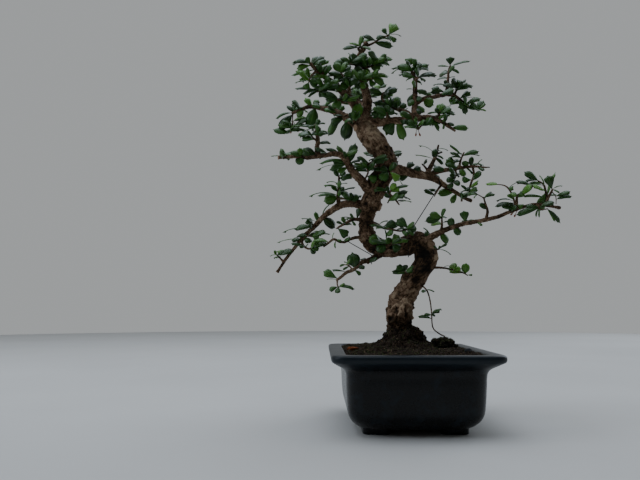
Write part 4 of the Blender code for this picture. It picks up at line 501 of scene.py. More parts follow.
# pale wood where a branch was cut: (x, depth, z, reach)
CUTS = [
    (33, -11, 186, 5.2), (-51.5, -12, 315.6, 4.2), (78, 35, 233.2, 2.6), (-136.3, -43, 282, 3.0),
    (-135.8, 40, 154.2, 2.6), (175, -36, 226, 2.0), (-36, -1, 415, 3.2), (22, -18, 374, 1.8),
    (66, 31, 232, 1.6), (-23, 0, 226, 3.2),
]
# rounded knots and hollow scars on the trunk: (x, depth, z, reach, height of its rim, depth of its pit)
SCARS = [
    (14.5, -13, 147, 5.6, 1.5, 2.4), (5, -15, 109, 4.6, 1.8, 3.0), (-7, -14, 114, 4.4, 1.5, 1.2),
    (3, -14, 119, 3.4, 1.4, 0.9), (-12, -10, 106, 4.0, 1.6, 1.8), (33, -6, 169, 5.0, 1.0, 0.6),
    (-34, -11, 300, 4.6, 0.8, 0.9), (-22, -12, 292, 3.4, 0.7, 0.9), (-27, -12, 284, 3.2, 0.7, 0.6),
    (-38, -5, 231, 4.4, 1.3, 0.8), (-12, -8, 183, 3.6, 1.0, 0.9), (-1, -9, 188, 4.0, 0.9, 1.3),
    (18, 8, 150, 5.0, 1.5, 2.0), (-6, 15, 112, 5.0, 1.7, 2.4), (-30, 10, 298, 4.4, 0.9, 1.0),
]
# dry calyxes: (x, z) of the twig that each hangs from, (x, z) of its cup; (share, radius) along it
CALYXES = [
    (-117, 324, -121, 309), (-115, 324, -112, 311), (126, 225, 119, 218), (127, 225, 123, 216),
    (20, 318, 17, 306), (20, 318, 22, 306),
]
CALYX_SHAPE = [(0, 0.35), (0.4, 0.3), (0.7, 0.4), (0.85, 1.0), (1.0, 0.6)]
MOSS_LINE = 93  # how high moss and crumbs climb the root flare
# where the trunk is more gnarled than elsewhere: (x, z, reach, times)
GNARLS = [(-3, 112, 16, 1.3), (-3, 84, 20, 2.9), (-24, 290, 18, 0.5), (24, 178, 14, 0.5)]


# ---------------------------------------------------------------- helpers
def at_depth(x, y, z):
    """The place in the frame, in metres, of the elevation's point (x, z) at depth y."""
    scale = (y - VIEWPOINT.y) / -VIEWPOINT.y
    return ZERO + MM * Vector((
        VIEWPOINT.x + (x - VIEWPOINT.x) * scale, y, VIEWPOINT.z + (z - VIEWPOINT.z) * scale
    ))


def in_pot(x, y, z):
    """The place in the frame, in metres, of a point in mm from the pot's middle."""
    return ZERO + Vector((POT_MIDDLE + x, y, z)) * MM


def new_object(name, mesh, *materials):
    """A new object in the scene, with materials."""
    obj = bpy.data.objects.new(name, mesh)
    bpy.context.scene.collection.objects.link(obj)
    for made in materials:
        mesh.materials.append(made)
    return obj


def drop(*objects):
    """Removes helper objects."""
    for obj in objects:
        bpy.data.objects.remove(obj, do_unlink=True)


def evaluated_mesh(obj):
    """The object's mesh with its modifiers carried out. The object itself is removed."""
    graph = bpy.context.evaluated_depsgraph_get()
    mesh = bpy.data.meshes.new_from_object(obj.evaluated_get(graph), depsgraph=graph)
    drop(obj)
    return mesh


def written(shape, name):
    """A bmesh shape as a mesh. The shape is freed."""
    mesh = bpy.data.meshes.new(name)
    shape.to_mesh(mesh)
    shape.free()
    return mesh


def part_of(mesh, name, keep):
    """A copy of a mesh that has only the faces for which keep() is true."""
    shape = bmesh.new()
    shape.from_mesh(mesh)
    others = [face for face in shape.faces if not keep(face)]
    bmesh.ops.delete(shape, geom=others, context="FACES")
    return written(shape, name)


def surface_of(mesh):
    """The mesh's faces, ready to be tested against other shapes."""
    return BVHTree.FromPolygons([vert.co for vert in mesh.vertices],
                                [face.vertices for face in mesh.polygons])


def set_values(mesh, **columns):
    """Stores a list of numbers, one for each point, under each name."""
    for label, values in columns.items():
        mesh.attributes.new(label, "FLOAT", "POINT").data.foreach_set("value", values)


def finished(obj, slot, *nodes):
    """Hands a finished piece to the frame, in place of the CAD nodes it stands for."""
    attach(obj, "root")
    if nodes:
        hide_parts(*nodes)


def smoothed(knots, step):
    """Points about one step apart on a smooth curve through the knots."""
    knots = [Vector(knot) for knot in knots]
    ends = [2 * knots[0] - knots[1]] + knots + [2 * knots[-1] - knots[-2]]
    out = []
    for before, a, b, after in zip(ends, ends[1:], ends[2:], ends[3:]):
        parts = max(1, round((b.xyz - a.xyz).length / step))
        for k in range(parts):
            t = k / parts
            out.append(0.5 * (
                2 * a + (b - before) * t + (2 * before - 5 * a + 4 * b - after) * t * t
                + (3 * a - before - 3 * b + after) * t ** 3
            ))
    return out + [knots[-1]]


def stem_line(route, step):
    """A stem's route (x, depth, z, radius) in mm as a smooth line of 4D points in metres."""
    return smoothed([(*at_depth(x, y, z), r * MM) for x, y, z, r in route], step)


def tubes(name, lines, sides):
    """Tubes along lines of 4D points (place and radius, in metres), as one mesh."""
    curve = bpy.data.curves.new(name, "CURVE")
    curve.dimensions = "3D"
    curve.bevel_depth = 1.0
    curve.bevel_resolution = sides
    curve.use_fill_caps = True
    for line in lines:
        spline = curve.splines.new("POLY")
        spline.points.add(len(line) - 1)
        for point, knot in zip(spline.points, line):
            point.co = (*knot.xyz, 1)
            point.radius = knot.w
    mesh = evaluated_mesh(new_object(name, curve))
    shape = bmesh.new()
    shape.from_mesh(mesh)
    bmesh.ops.remove_doubles(shape, verts=shape.verts, dist=1e-6)
    bmesh.ops.recalc_face_normals(shape, faces=shape.faces)
    return written(shape, name)


def fused(name, mesh, voxel, rounds):
    """The mesh's overlapping shapes fused into one smooth skin."""
    obj = new_object(name, mesh)
    remesh = obj.modifiers.new("fuse", "REMESH")
    remesh.mode = "VOXEL"
    remesh.voxel_size = voxel
    relax = obj.modifiers.new("relax", "SMOOTH")
    relax.iterations = rounds
    return evaluated_mesh(obj)


def rounded_ring(half_x, half_y, corner, per_corner, per_side):
    """Points (x, y) of a rounded rectangle, anticlockwise."""
    corners = []
    for quarter, (sx, sy) in enumerate([(1, 1), (-1, 1), (-1, -1), (1, -1)]):
        for k in range(per_corner):
            angle = math.radians(90 * (quarter + k / (per_corner - 1)))
            corners.append((
                Vector((sx * (half_x - corner) + corner * math.cos(angle),
                        sy * (half_y - corner) + corner * math.sin(angle))),
                k == per_corner - 1,
            ))
    out = []
    for number, (point, ends_corner) in enumerate(corners):
        out.append(point)
        if ends_corner:
            following = corners[(number + 1) % len(corners)][0]
            out += [point.lerp(following, k / per_side) for k in range(1, per_side)]
    return out


def lofted(name, rings):
    """A closed solid through rings of points, with its two ends filled by fans of triangles."""
    count = len(rings[0])
    shape = bmesh.new()
    loops = [[shape.verts.new(point) for point in ring] for ring in rings]
    for low, high in zip(loops, loops[1:]):
        for k in range(count):
            following = (k + 1) % count
            shape.faces.new((low[k], low[following], high[following], high[k]))
    for loop in (loops[0], loops[-1]):
        middle = shape.verts.new(sum((vert.co for vert in loop), Vector()) / count)
        for k in range(count):
            shape.faces.new((loop[k], loop[(k + 1) % count], middle))
    bmesh.ops.recalc_face_normals(shape, faces=shape.faces)
    return written(shape, name)


# ---------------------------------------------------------------- node trees
def linear(hex_code):
    """Linear RGBA of an sRGB hex colour."""
    parts = [int(hex_code[i:i + 2], 16) / 255 for i in (1, 3, 5)]
    return [c / 12.92 if c <= 0.04045 else ((c + 0.055) / 1.055) ** 2.4 for c in parts] + [1.0]


def add(tree, kind, inputs=None, stops=(), **settings):
    """Adds a node. An input takes a value, a socket, or a node, whose first live output it uses. A
    colour ramp also takes stops (position, hex colour)."""
    node = tree.nodes.new(kind)
    for key, value in settings.items():
        setattr(node, key, value)
    for key, value in (inputs or {}).items():
        if isinstance(value, bpy.types.Node):
            value = next(socket for socket in value.outputs if socket.enabled)
        if isinstance(value, bpy.types.NodeSocket):
            tree.links.new(value, node.inputs[key])
        else:
            node.inputs[key].default_value = value
    if stops:
        elements = node.color_ramp.elements
        while len(elements) < len(stops):
            elements.new(0.5)
        for element, (position, colour) in zip(elements, stops):
            element.position = position
            element.color = linear(colour)
    return node


def principled(name, **constants):
    """A material with a Principled shader whose named inputs have constant values."""
    made = bpy.data.materials.new(name)
    made.use_nodes = True
    shader = made.node_tree.nodes["Principled BSDF"]
    for key, value in constants.items():
        shader.inputs[key.replace("_", " ")].default_value = value
    return made, made.node_tree, shader


def bark_material():
    """Old bark of a small shrub: dull, flaky, brown to grey-tan, with dark fissures whose darkness is
    partly painted shade, painted shade in the pits of scars and painted highlights on their rims, and
    lighter and darker stretches that are partly its own colour and partly painted highlights and painted
    shade. Cut faces are bare pale wood with year rings."""
    made, tree, shader = principled("flaky_brown_bark", Roughness=0.85, Specular_IOR_Level=0.2)
    place = add(tree, "ShaderNodeTexCoord").outputs["Object"]
    tone = add(tree, "ShaderNodeAttribute", attribute_name="tone").outputs["Fac"]
    cut = add(tree, "ShaderNodeAttribute", attribute_name="cut").outputs["Fac"]
    crack = add(tree, "ShaderNodeAttribute", attribute_name="crack").outputs["Fac"]
    patches = add(tree, "ShaderNodeTexNoise", {"Vector": place, "Scale": 1 / (9 * MM), "Detail": 5.0,
                                               "Roughness": 0.62, "Distortion": 0.6})
    flakes = add(tree, "ShaderNodeTexNoise", {"Vector": place, "Scale": 1 / (1.6 * MM), "Detail": 4.0,
                                              "Roughness": 0.7})
    plates = add(tree, "ShaderNodeTexVoronoi", {"Vector": place, "Scale": 1 / (4.2 * MM)},
                 feature="DISTANCE_TO_EDGE")
    wide = add(tree, "ShaderNodeMath", {0: patches, 1: 1.7, 2: -0.5}, operation="MULTIPLY_ADD")
    fine = add(tree, "ShaderNodeMath", {0: flakes, 1: 0.55, 2: wide}, operation="MULTIPLY_ADD")
    # lighter and darker stretches: partly the bark's own colour, partly painted highlights and painted
    # shade
    toned = add(tree, "ShaderNodeMath", {0: tone, 1: 0.33, 2: fine}, operation="MULTIPLY_ADD")
    # fissures darken the bark, partly as their own darker bark and partly as painted shade; scar pits get
    # painted shade and scar rims a painted highlight
    sunk = add(tree, "ShaderNodeMath", {0: crack, 1: -0.42, 2: toned}, operation="MULTIPLY_ADD")
    bark = add(tree, "ShaderNodeValToRGB", {"Fac": sunk},
               stops=[(0.06, "#100d08"), (0.28, "#2a2016"), (0.5, "#523f2b"), (0.72, "#806650"),
                      (1.0, "#b39c80")])
    rings = add(tree, "ShaderNodeTexWave", {"Vector": place, "Scale": 1 / (6 * MM), "Distortion": 6.0,
                                            "Detail": 2.0}, wave_type="RINGS")
    wood = add(tree, "ShaderNodeValToRGB", {"Fac": rings},
               stops=[(0.2, "#8a6d52"), (0.8, "#a98d72")])
    colour = add(tree, "ShaderNodeMix", {0: cut, 6: bark, 7: wood}, data_type="RGBA")
    tree.links.new(colour.outputs[2], shader.inputs["Base Color"])
    edges = add(tree, "ShaderNodeMapRange", {"Value": plates, "From Max": 0.12})
    height = add(tree, "ShaderNodeMath", {0: edges, 1: 0.35, 2: flakes}, operation="MULTIPLY_ADD")
    bump = add(tree, "ShaderNodeBump", {"Height": height, "Strength": 0.55, "Distance": 0.0007})
    tree.links.new(bump.outputs[0], shader.inputs["Normal"])
    return made


def leaf_material():
    """Leathery evergreen leaf: waxed dark green above, where it mirrors the sky a little, dull and
    paler below. This year's leaves are yellow-green."""
    made, tree, shader = principled("waxed_evergreen_leaf", IOR=1.45, Specular_IOR_Level=0.5)
    tint = add(tree, "ShaderNodeAttribute", attribute_name="tint").outputs["Fac"]
    age = add(tree, "ShaderNodeAttribute", attribute_name="fresh").outputs["Fac"]
    under = add(tree, "ShaderNodeAttribute", attribute_name="under").outputs["Fac"]
    flat = add(tree, "ShaderNodeSeparateXYZ", {0: add(tree, "ShaderNodeUVMap", uv_map="UVMap")})
    place = add(tree, "ShaderNodeTexCoord").outputs["Object"]
    mottle = add(tree, "ShaderNodeTexNoise", {"Vector": place, "Scale": 1 / (4 * MM), "Detail": 3.0})
    shade = add(tree, "ShaderNodeMath", {0: mottle, 1: 0.5, 2: tint}, operation="MULTIPLY_ADD")
    old = add(tree, "ShaderNodeValToRGB", {"Fac": shade},
              stops=[(0.15, "#17310f"), (0.6, "#2d581c"), (1.0, "#4e802d")])
    young = add(tree, "ShaderNodeValToRGB", {"Fac": shade},
                stops=[(0.2, "#427a20"), (1.0, "#7bb036")])
    upper = add(tree, "ShaderNodeMix", {0: age, 6: old, 7: young}, data_type="RGBA")
    lower = add(tree, "ShaderNodeMix", {0: 0.45, 6: upper.outputs[2], 7: linear("#5a7743")},
                data_type="RGBA")
    blade = add(tree, "ShaderNodeMix", {0: under, 6: upper.outputs[2], 7: lower.outputs[2]},
                data_type="RGBA")
    side = add(tree, "ShaderNodeMath", {0: flat.outputs["Y"], 1: 0.5}, operation="SUBTRACT")
    away = add(tree, "ShaderNodeMath", {0: side}, operation="ABSOLUTE")
    midrib = add(tree, "ShaderNodeMapRange", {"Value": away, "From Min": 0.012, "From Max": 0.045,
                                              "To Min": 1.0, "To Max": 0.0})
    slant = add(tree, "ShaderNodeMath", {0: away, 1: -0.75, 2: flat.outputs["X"]},
                operation="MULTIPLY_ADD")
    combs = add(tree, "ShaderNodeMath", {0: slant, 1: 2 * math.pi * 6}, operation="MULTIPLY")
    wave = add(tree, "ShaderNodeMath", {0: combs}, operation="COSINE")
    lateral = add(tree, "ShaderNodeMapRange", {"Value": wave, "From Min": 0.86, "From Max": 1.0,
                                               "To Max": 0.55})
    vein = add(tree, "ShaderNodeMath", {0: midrib, 1: lateral}, operation="MAXIMUM")
    faint = add(tree, "ShaderNodeMath", {0: vein, 1: 0.3}, operation="MULTIPLY")
    colour = add(tree, "ShaderNodeMix", {0: faint, 6: blade.outputs[2], 7: linear("#6c8a45")},
                 data_type="RGBA")
    tree.links.new(colour.outputs[2], shader.inputs["Base Color"])
    dull = add(tree, "ShaderNodeMath", {0: under, 1: 0.3, 2: 0.27}, operation="MULTIPLY_ADD")
    worn = add(tree, "ShaderNodeMath", {0: mottle, 1: 0.12, 2: dull}, operation="MULTIPLY_ADD")
    tree.links.new(worn.outputs[0], shader.inputs["Roughness"])
    sunk = add(tree, "ShaderNodeMath", {0: vein, 1: -0.6, 2: mottle}, operation="MULTIPLY_ADD")
    bump = add(tree, "ShaderNodeBump", {"Height": sunk, "Strength": 0.35, "Distance": 0.0005})
    tree.links.new(bump.outputs[0], shader.inputs["Normal"])
    return made


def plastic_material():
    """Injection-moulded polypropylene: blue-black and satin, so that it shows broad soft highlights, with a
    faint film of lime and dust, and a painted highlight that lightens the rim along with the dust there.
    The real grain is finer than 0.8 mm, and is drawn that coarse so that it shows."""
    made, tree, shader = principled("moulded_blue_black_plastic", IOR=1.49,
                                    Specular_IOR_Level=0.26)
    place = add(tree, "ShaderNodeTexCoord").outputs["Object"]
    stretched = add(tree, "ShaderNodeMapping", {"Vector": place, "Scale": (1.0, 1.0, 0.3)})
    flow = add(tree, "ShaderNodeTexNoise", {"Vector": stretched, "Scale": 1 / (20 * MM), "Detail": 2.0})
    grain = add(tree, "ShaderNodeTexNoise", {"Vector": place, "Scale": 1 / (0.8 * MM), "Detail": 2.0})
    film = add(tree, "ShaderNodeTexNoise", {"Vector": place, "Scale": 1 / (12 * MM), "Detail": 6.0,
                                            "Roughness": 0.7})
    level = add(tree, "ShaderNodeSeparateXYZ", {0: place}).outputs["Z"]
    # the top 12 mm of the pot, its rim, is lightened more: dust and a painted highlight
    rim = add(tree, "ShaderNodeMapRange", {"Value": level, "From Min": POT_TOP * MM - 0.012,
                                           "From Max": POT_TOP * MM - 0.004, "To Max": 0.4})
    dust_and_rim_highlight = add(tree, "ShaderNodeMapRange", {"Value": film, "From Min": 0.48, "From Max": 0.8,
                                             "To Min": rim, "To Max": 0.6})
    # blue-black, lightened by the lime and dust film and by the painted rim highlight
    colour = add(tree, "ShaderNodeMix", {0: dust_and_rim_highlight, 6: linear("#050607"), 7: linear("#22303a")},
                 data_type="RGBA")
    tree.links.new(colour.outputs[2], shader.inputs["Base Color"])
    rough = add(tree, "ShaderNodeMath", {0: dust_and_rim_highlight, 1: 0.3, 2: 0.27}, operation="MULTIPLY_ADD")
    tree.links.new(rough.outputs[0], shader.inputs["Roughness"])
    height = add(tree, "ShaderNodeMath", {0: grain, 1: 0.035, 2: flow}, operation="MULTIPLY_ADD")
    bump = add(tree, "ShaderNodeBump", {"Height": height, "Strength": 0.22, "Distance": 0.0025})
    tree.links.new(bump.outputs[0], shader.inputs["Normal"])
    return made


def earth_material(name, stops, fineness, roughness=0.95):
    """Dry crumbly matter: dull all over. Each grain's own tint sets its colour, and noise of a given
    fineness, in mm, breaks it up."""
    made, tree, shader = principled(name, Roughness=roughness, Specular_IOR_Level=0.2)
    place = add(tree, "ShaderNodeTexCoord").outputs["Object"]
    tint = add(tree, "ShaderNodeAttribute", attribute_name="tint").outputs["Fac"]
    fine = add(tree, "ShaderNodeTexNoise", {"Vector": place, "Scale": 1 / (fineness * MM), "Detail": 5.0,
                                            "Roughness": 0.7})
    mixed = add(tree, "ShaderNodeMath", {0: tint, 1: 0.5, 2: fine}, operation="MULTIPLY_ADD")
    colour = add(tree, "ShaderNodeValToRGB", {"Fac": mixed}, stops=stops)
    tree.links.new(colour.outputs[0], shader.inputs["Base Color"])
    bump = add(tree, "ShaderNodeBump", {"Height": fine, "Strength": 0.7, "Distance": 0.0008})
    tree.links.new(bump.outputs[0], shader.inputs["Normal"])
    return made


def wire_material():
    """Anodised training wire, dark and satin, with faint drawn lines."""
    made, tree, shader = principled("dark_anodised_wire", Metallic=0.7)
    place = add(tree, "ShaderNodeTexCoord").outputs["Object"]
    drawn = add(tree, "ShaderNodeTexNoise", {"Vector": place, "Scale": 1 / (0.7 * MM), "Detail": 2.0})
    colour = add(tree, "ShaderNodeValToRGB", {"Fac": drawn},
                 stops=[(0.3, "#14110f"), (0.8, "#2b2623")])
    tree.links.new(colour.outputs[0], shader.inputs["Base Color"])
    rough = add(tree, "ShaderNodeMath", {0: drawn, 1: 0.3, 2: 0.3}, operation="MULTIPLY_ADD")
    tree.links.new(rough.outputs[0], shader.inputs["Roughness"])
    return made


# ---------------------------------------------------------------- geometry nodes
def new_tree(name, **inputs):
    """A geometry node tree with a Geometry input and output and further named inputs."""
    tree = bpy.data.node_groups.new(name, "GeometryNodeTree")
    tree.interface.new_socket("Geometry", in_out="INPUT", socket_type="NodeSocketGeometry")
    for label, kind in inputs.items():
        tree.interface.new_socket(label.replace("_", " "), in_out="INPUT",
                                  socket_type="NodeSocket" + kind)
    tree.interface.new_socket("Geometry", in_out="OUTPUT", socket_type="NodeSocketGeometry")
    return tree, tree.nodes.new("NodeGroupInput").outputs


def grown_by(tree, obj, **values):
    """The mesh that a tree makes of an object, with its named inputs set."""
    modifier = obj.modifiers.new(tree.name, "NODES")
    modifier.node_group = tree
    sockets = {
        item.name: item.identifier for item in tree.interface.items_tree if item.in_out == "INPUT"
    }
    for label, value in values.items():
        modifier[sockets[label.replace("_", " ")]] = value
    return evaluated_mesh(obj)


# (share of the length, share of the half width) along a blade, from stalk to tip: a rounded leaf, one
# with a wedge-shaped foot, and a slim one
OUTLINES = [
    [(0, 0.06), (0.06, 0.1), (0.15, 0.36), (0.28, 0.68), (0.44, 0.9), (0.6, 1.0), (0.75, 0.97),
     (0.9, 0.75), (1.0, 0.4)],
    [(0, 0.06), (0.08, 0.09), (0.2, 0.24), (0.36, 0.52), (0.52, 0.78), (0.68, 0.98), (0.8, 1.0),
     (0.92, 0.85), (1.0, 0.55)],
    [(0, 0.06), (0.06, 0.12), (0.18, 0.5), (0.32, 0.82), (0.48, 1.0), (0.64, 0.98), (0.8, 0.78),
     (0.93, 0.45), (1.0, 0.2)],
]
# what each leaf's own point and blade carry while it is shaped, and the kind of each value
LEAF_VALUES = {"along": "FLOAT", "across": "FLOAT", "turn": "QUATERNION", "size": "FLOAT_VECTOR",
               "up": "FLOAT_VECTOR", "arch": "FLOAT", "droop": "FLOAT", "cup": "FLOAT",
               "ripple": "FLOAT", "form": "INT"}
# the sums that shape a blade: (name, operation, terms). A term is a number, an earlier sum, a
# measure of the flat blade, or, where it says own, a value of the leaf's own point.
BLADE_SUMS = [
    ("from side", "MULTIPLY_ADD", "across", 0.5, 0.5),
    ("square", "MULTIPLY", "across", "across"),
    # the tip is blunt, with a shallow dip on each side of its middle
    ("half turn", "MULTIPLY", "across", math.pi),
    ("sine", "SINE", "half turn"),
    ("tooth", "POWER", "sine", 2.0),
    ("small tooth", "MULTIPLY", "tooth", 0.05),
    ("blunt", "MULTIPLY_ADD", "square", 0.12, "small tooth"),
    ("drawn in", "MULTIPLY", "blunt", "tip"),
    ("reach", "SUBTRACT", "along", "drawn in"),
    # it is thickest in the middle and comes to an edge all round
    ("inward", "SUBTRACT", 1.0, "square"),
    ("to tip", "SUBTRACT", 1.0, "along"),
    ("hump", "MULTIPLY", "along", "to tip"),
    ("full hump", "MULTIPLY", "hump", 4.0),
    ("thick", "MULTIPLY", "inward", "full hump"),
    ("root", "POWER", "thick", 0.5),
    ("half root", "MULTIPLY", "root", 0.5),
    ("rise", "MULTIPLY", "half root", "thickness"),
    ("fall", "MULTIPLY", "rise", -1.0),
    # along its length it arches up and then droops
    ("left over", "SUBTRACT", 1.0, "own along"),
    ("bow", "MULTIPLY", "own along", "left over"),
    ("full bow", "MULTIPLY", "bow", 4.0),
    ("arched", "MULTIPLY", "full bow", "own arch"),
    ("far out", "POWER", "own along", 2.5),
    ("drooped", "MULTIPLY", "far out", "own droop"),
    # across, its sides cup and its edge ripples
    ("own square", "MULTIPLY", "own across", "own across"),
    ("opening", "POWER", "own along", 0.6),
    ("cupping", "MULTIPLY", "own square", "opening"),
    ("cupped", "MULTIPLY", "cupping", "own cup"),
    ("twice across", "MULTIPLY", "own across", 2.0),
    ("phase", "MULTIPLY_ADD", "own along", 11.0, "twice across"),
    ("ripples", "SINE", "phase"),
    ("off middle", "ABSOLUTE", "own across"),
    ("at edge", "MULTIPLY", "off middle", "own ripple"),
    ("rippled", "MULTIPLY", "ripples", "at edge"),
    ("lengthwise", "SUBTRACT", "arched", "drooped"),
    ("crosswise", "ADD", "cupped", "rippled"),
    ("lift", "SUBTRACT", "lengthwise", "crosswise"),
]


def leaves_tree():
    """Leaves on points. Each point carries the turn, size and bend of its own leaf: a flat blade is
    set on it, and then arched, cupped and rippled in its own way."""
    tree, given = new_tree("leaves_on_twigs", Rows="Int", Columns="Int", Thickness="Float",
                           Stem="Object", Leaf="Material")
    own = {name: add(tree, "GeometryNodeInputNamedAttribute", {"Name": name}, data_type=kind)
           for name, kind in LEAF_VALUES.items()}
    grid = add(tree, "GeometryNodeMeshGrid", {"Size X": 1.0, "Size Y": 2.0,
                                              "Vertices X": given["Rows"],
                                              "Vertices Y": given["Columns"]})
    flat = add(tree, "ShaderNodeSeparateXYZ", {0: add(tree, "GeometryNodeInputPosition")})
    along = add(tree, "ShaderNodeMath", {0: flat.outputs["X"], 1: 0.5}, operation="ADD")
    tip = add(tree, "ShaderNodeMapRange", {"Value": along, "From Min": 0.82, "From Max": 1.0},
              interpolation_type="SMOOTHSTEP")
    terms = {"along": along, "across": flat.outputs["Y"], "tip": tip,
             "thickness": given["Thickness"], **{"own " + name: node for name, node in own.items()}}
    for name, operation, *parts in BLADE_SUMS:
        inputs = {k: terms.get(part, part) for k, part in enumerate(parts)}
        terms[name] = add(tree, "ShaderNodeMath", inputs, operation=operation)
    corner = add(tree, "ShaderNodeCombineXYZ", {"X": along, "Y": terms["from side"]})
    kept = add(tree, "GeometryNodeStoreNamedAttribute",
               {"Geometry": grid, "Name": "UVMap", "Value": corner},
               data_type="FLOAT2", domain="CORNER")
    for name in ("along", "across"):
        kept = add(tree, "GeometryNodeStoreNamedAttribute",
                   {"Geometry": kept, "Name": name, "Value": terms[name]}, data_type="FLOAT")
    forms = add(tree, "GeometryNodeJoinGeometry")
    for shares in OUTLINES:
        outline = add(tree, "ShaderNodeFloatCurve", {"Value": along})
        points = outline.mapping.curves[0].points
        points[0].location, points[1].location = shares[0], shares[-1]
        for x, y in shares[1:-1]:
            points.new(x, y)
        outline.mapping.update()
        width = add(tree, "ShaderNodeMath", {0: terms["across"], 1: outline}, operation="MULTIPLY")
        faces = []
        for height in ("rise", "fall"):
            place = add(tree, "ShaderNodeCombineXYZ",
                        {"X": terms["reach"], "Y": width, "Z": terms[height]})
            faces.append(add(tree, "GeometryNodeSetPosition", {"Geometry": kept, "Position": place}))
        turned = add(tree, "GeometryNodeFlipFaces", {"Mesh": faces[1]})
        below = add(tree, "GeometryNodeStoreNamedAttribute",
                    {"Geometry": turned, "Name": "under", "Value": 1.0},
                    data_type="FLOAT", domain="FACE")
        shell = add(tree, "GeometryNodeJoinGeometry", {"Geometry": faces[0]})
        tree.links.new(below.outputs[0], shell.inputs[0])
        blade = add(tree, "GeometryNodeMergeByDistance", {"Geometry": shell, "Distance": 1e-5})
        form = add(tree, "GeometryNodeGeometryToInstance", {"Geometry": blade})
        tree.links.new(form.outputs[0], forms.inputs[0])
    set_out = add(tree, "GeometryNodeInstanceOnPoints", {
        "Points": given["Geometry"], "Instance": forms, "Pick Instance": True,
        "Instance Index": own["form"], "Rotation": own["turn"], "Scale": own["size"],
    })
    real = add(tree, "GeometryNodeRealizeInstances", {"Geometry": set_out})
    moved = add(tree, "ShaderNodeVectorMath", {0: own["up"], "Scale": terms["lift"]},
                operation="SCALE")
    bent = add(tree, "GeometryNodeSetPosition", {"Geometry": real, "Offset": moved})
    for name in LEAF_VALUES:
        bent = add(tree, "GeometryNodeRemoveAttribute", {"Geometry": bent, "Name": name})
    dressed = add(tree, "GeometryNodeSetMaterial", {"Geometry": bent, "Material": given["Leaf"]})
    soft = add(tree, "GeometryNodeSetShadeSmooth", {"Geometry": dressed})
    stem = add(tree, "GeometryNodeObjectInfo", {"Object": given["Stem"]})
    whole = add(tree, "GeometryNodeJoinGeometry", {"Geometry": soft})
    tree.links.new(stem.outputs["Geometry"], whole.inputs[0])
    add(tree, "NodeGroupOutput", {"Geometry": whole})
    return tree


def scatter_tree(name, upright):
    """Crumbs, or upright tufts, spread over a surface where noise lets them grow."""
    tree, given = new_tree(name, Per_Square_Metre="Float", Least="Float", Most="Float",
                           Patchiness="Float", Seed="Int", Roughness="Float", Matter="Material")
    place = add(tree, "GeometryNodeInputPosition")
    cloud = add(tree, "ShaderNodeTexNoise", {"Vector": place, "Scale": 1 / (14 * MM), "Detail": 3.0})
    grows = add(tree, "ShaderNodeMapRange", {"Value": cloud, "From Min": given["Patchiness"],
                                             "From Max": 0.62, "To Max": given["Per Square Metre"]})
    spots = add(tree, "GeometryNodeDistributePointsOnFaces",
                {"Mesh": given["Geometry"], "Density": grows, "Seed": given["Seed"]})
    tinted = add(tree, "GeometryNodeStoreNamedAttribute", {
        "Geometry": spots, "Name": "tint",
        "Value": add(tree, "FunctionNodeRandomValue", {"Seed": given["Seed"]}, data_type="FLOAT"),
    }, data_type="FLOAT")
    span = add(tree, "FunctionNodeRandomValue", {2: given["Least"], 3: given["Most"],
                                                 "Seed": given["Seed"]}, data_type="FLOAT")
    if upright:
        grain = add(tree, "GeometryNodeMeshCone", {
            "Vertices": 4, "Side Segments": 1, "Radius Top": 0.0, "Radius Bottom": 0.16,
            "Depth": 1.0,
        }).outputs["Mesh"]
        lean = add(tree, "FunctionNodeRandomValue", {0: (-0.7, -0.7, 0.0), 1: (0.7, 0.7, 6.28)},
                   data_type="FLOAT_VECTOR")
        size = add(tree, "ShaderNodeCombineXYZ", {"X": span, "Y": span, "Z": span})
    else:
        grain = add(tree, "GeometryNodeMeshIcoSphere", {"Radius": 1.0, "Subdivisions": 1}).outputs["Mesh"]
        lean = add(tree, "FunctionNodeRandomValue", {0: (0.0,) * 3, 1: (6.28,) * 3},
                   data_type="FLOAT_VECTOR")
        shape = add(tree, "FunctionNodeRandomValue", {0: (0.55,) * 3, 1: (1.2,) * 3, "Seed": 3},
                    data_type="FLOAT_VECTOR")
        size = add(tree, "ShaderNodeVectorMath", {0: shape, "Scale": span}, operation="SCALE")
    strewn = add(tree, "GeometryNodeInstanceOnPoints", {
        "Points": tinted, "Instance": grain, "Scale": size,
        "Rotation": add(tree, "FunctionNodeEulerToRotation", {0: lean}),
    })
    real = add(tree, "GeometryNodeRealizeInstances", {"Geometry": strewn})
    rough = add(tree, "ShaderNodeTexNoise", {"Vector": add(tree, "GeometryNodeInputPosition"),
                                             "Scale": 1 / (1.6 * MM), "Detail": 1.0})
    centred = add(tree, "ShaderNodeVectorMath", {0: rough.outputs["Color"], 1: (0.5,) * 3},
                  operation="SUBTRACT")
    push = add(tree, "ShaderNodeVectorMath", {0: centred, "Scale": given["Roughness"]},
               operation="SCALE")
    lumpy = add(tree, "GeometryNodeSetPosition", {"Geometry": real, "Offset": push})
    dressed = add(tree, "GeometryNodeSetMaterial", {"Geometry": lumpy, "Material": given["Matter"]})
    add(tree, "NodeGroupOutput", {"Geometry": dressed})
    return tree


# ---------------------------------------------------------------- wood
def near(place, spots):
    """The sum of each spot's last value, fading out over its reach on the elevation."""
    x, z = place.x / MM, place.z / MM
    return sum(
        value * math.exp(-((x - sx) ** 2 + (z - sz) ** 2) / reach ** 2)
        for sx, sz, reach, value in spots
    )


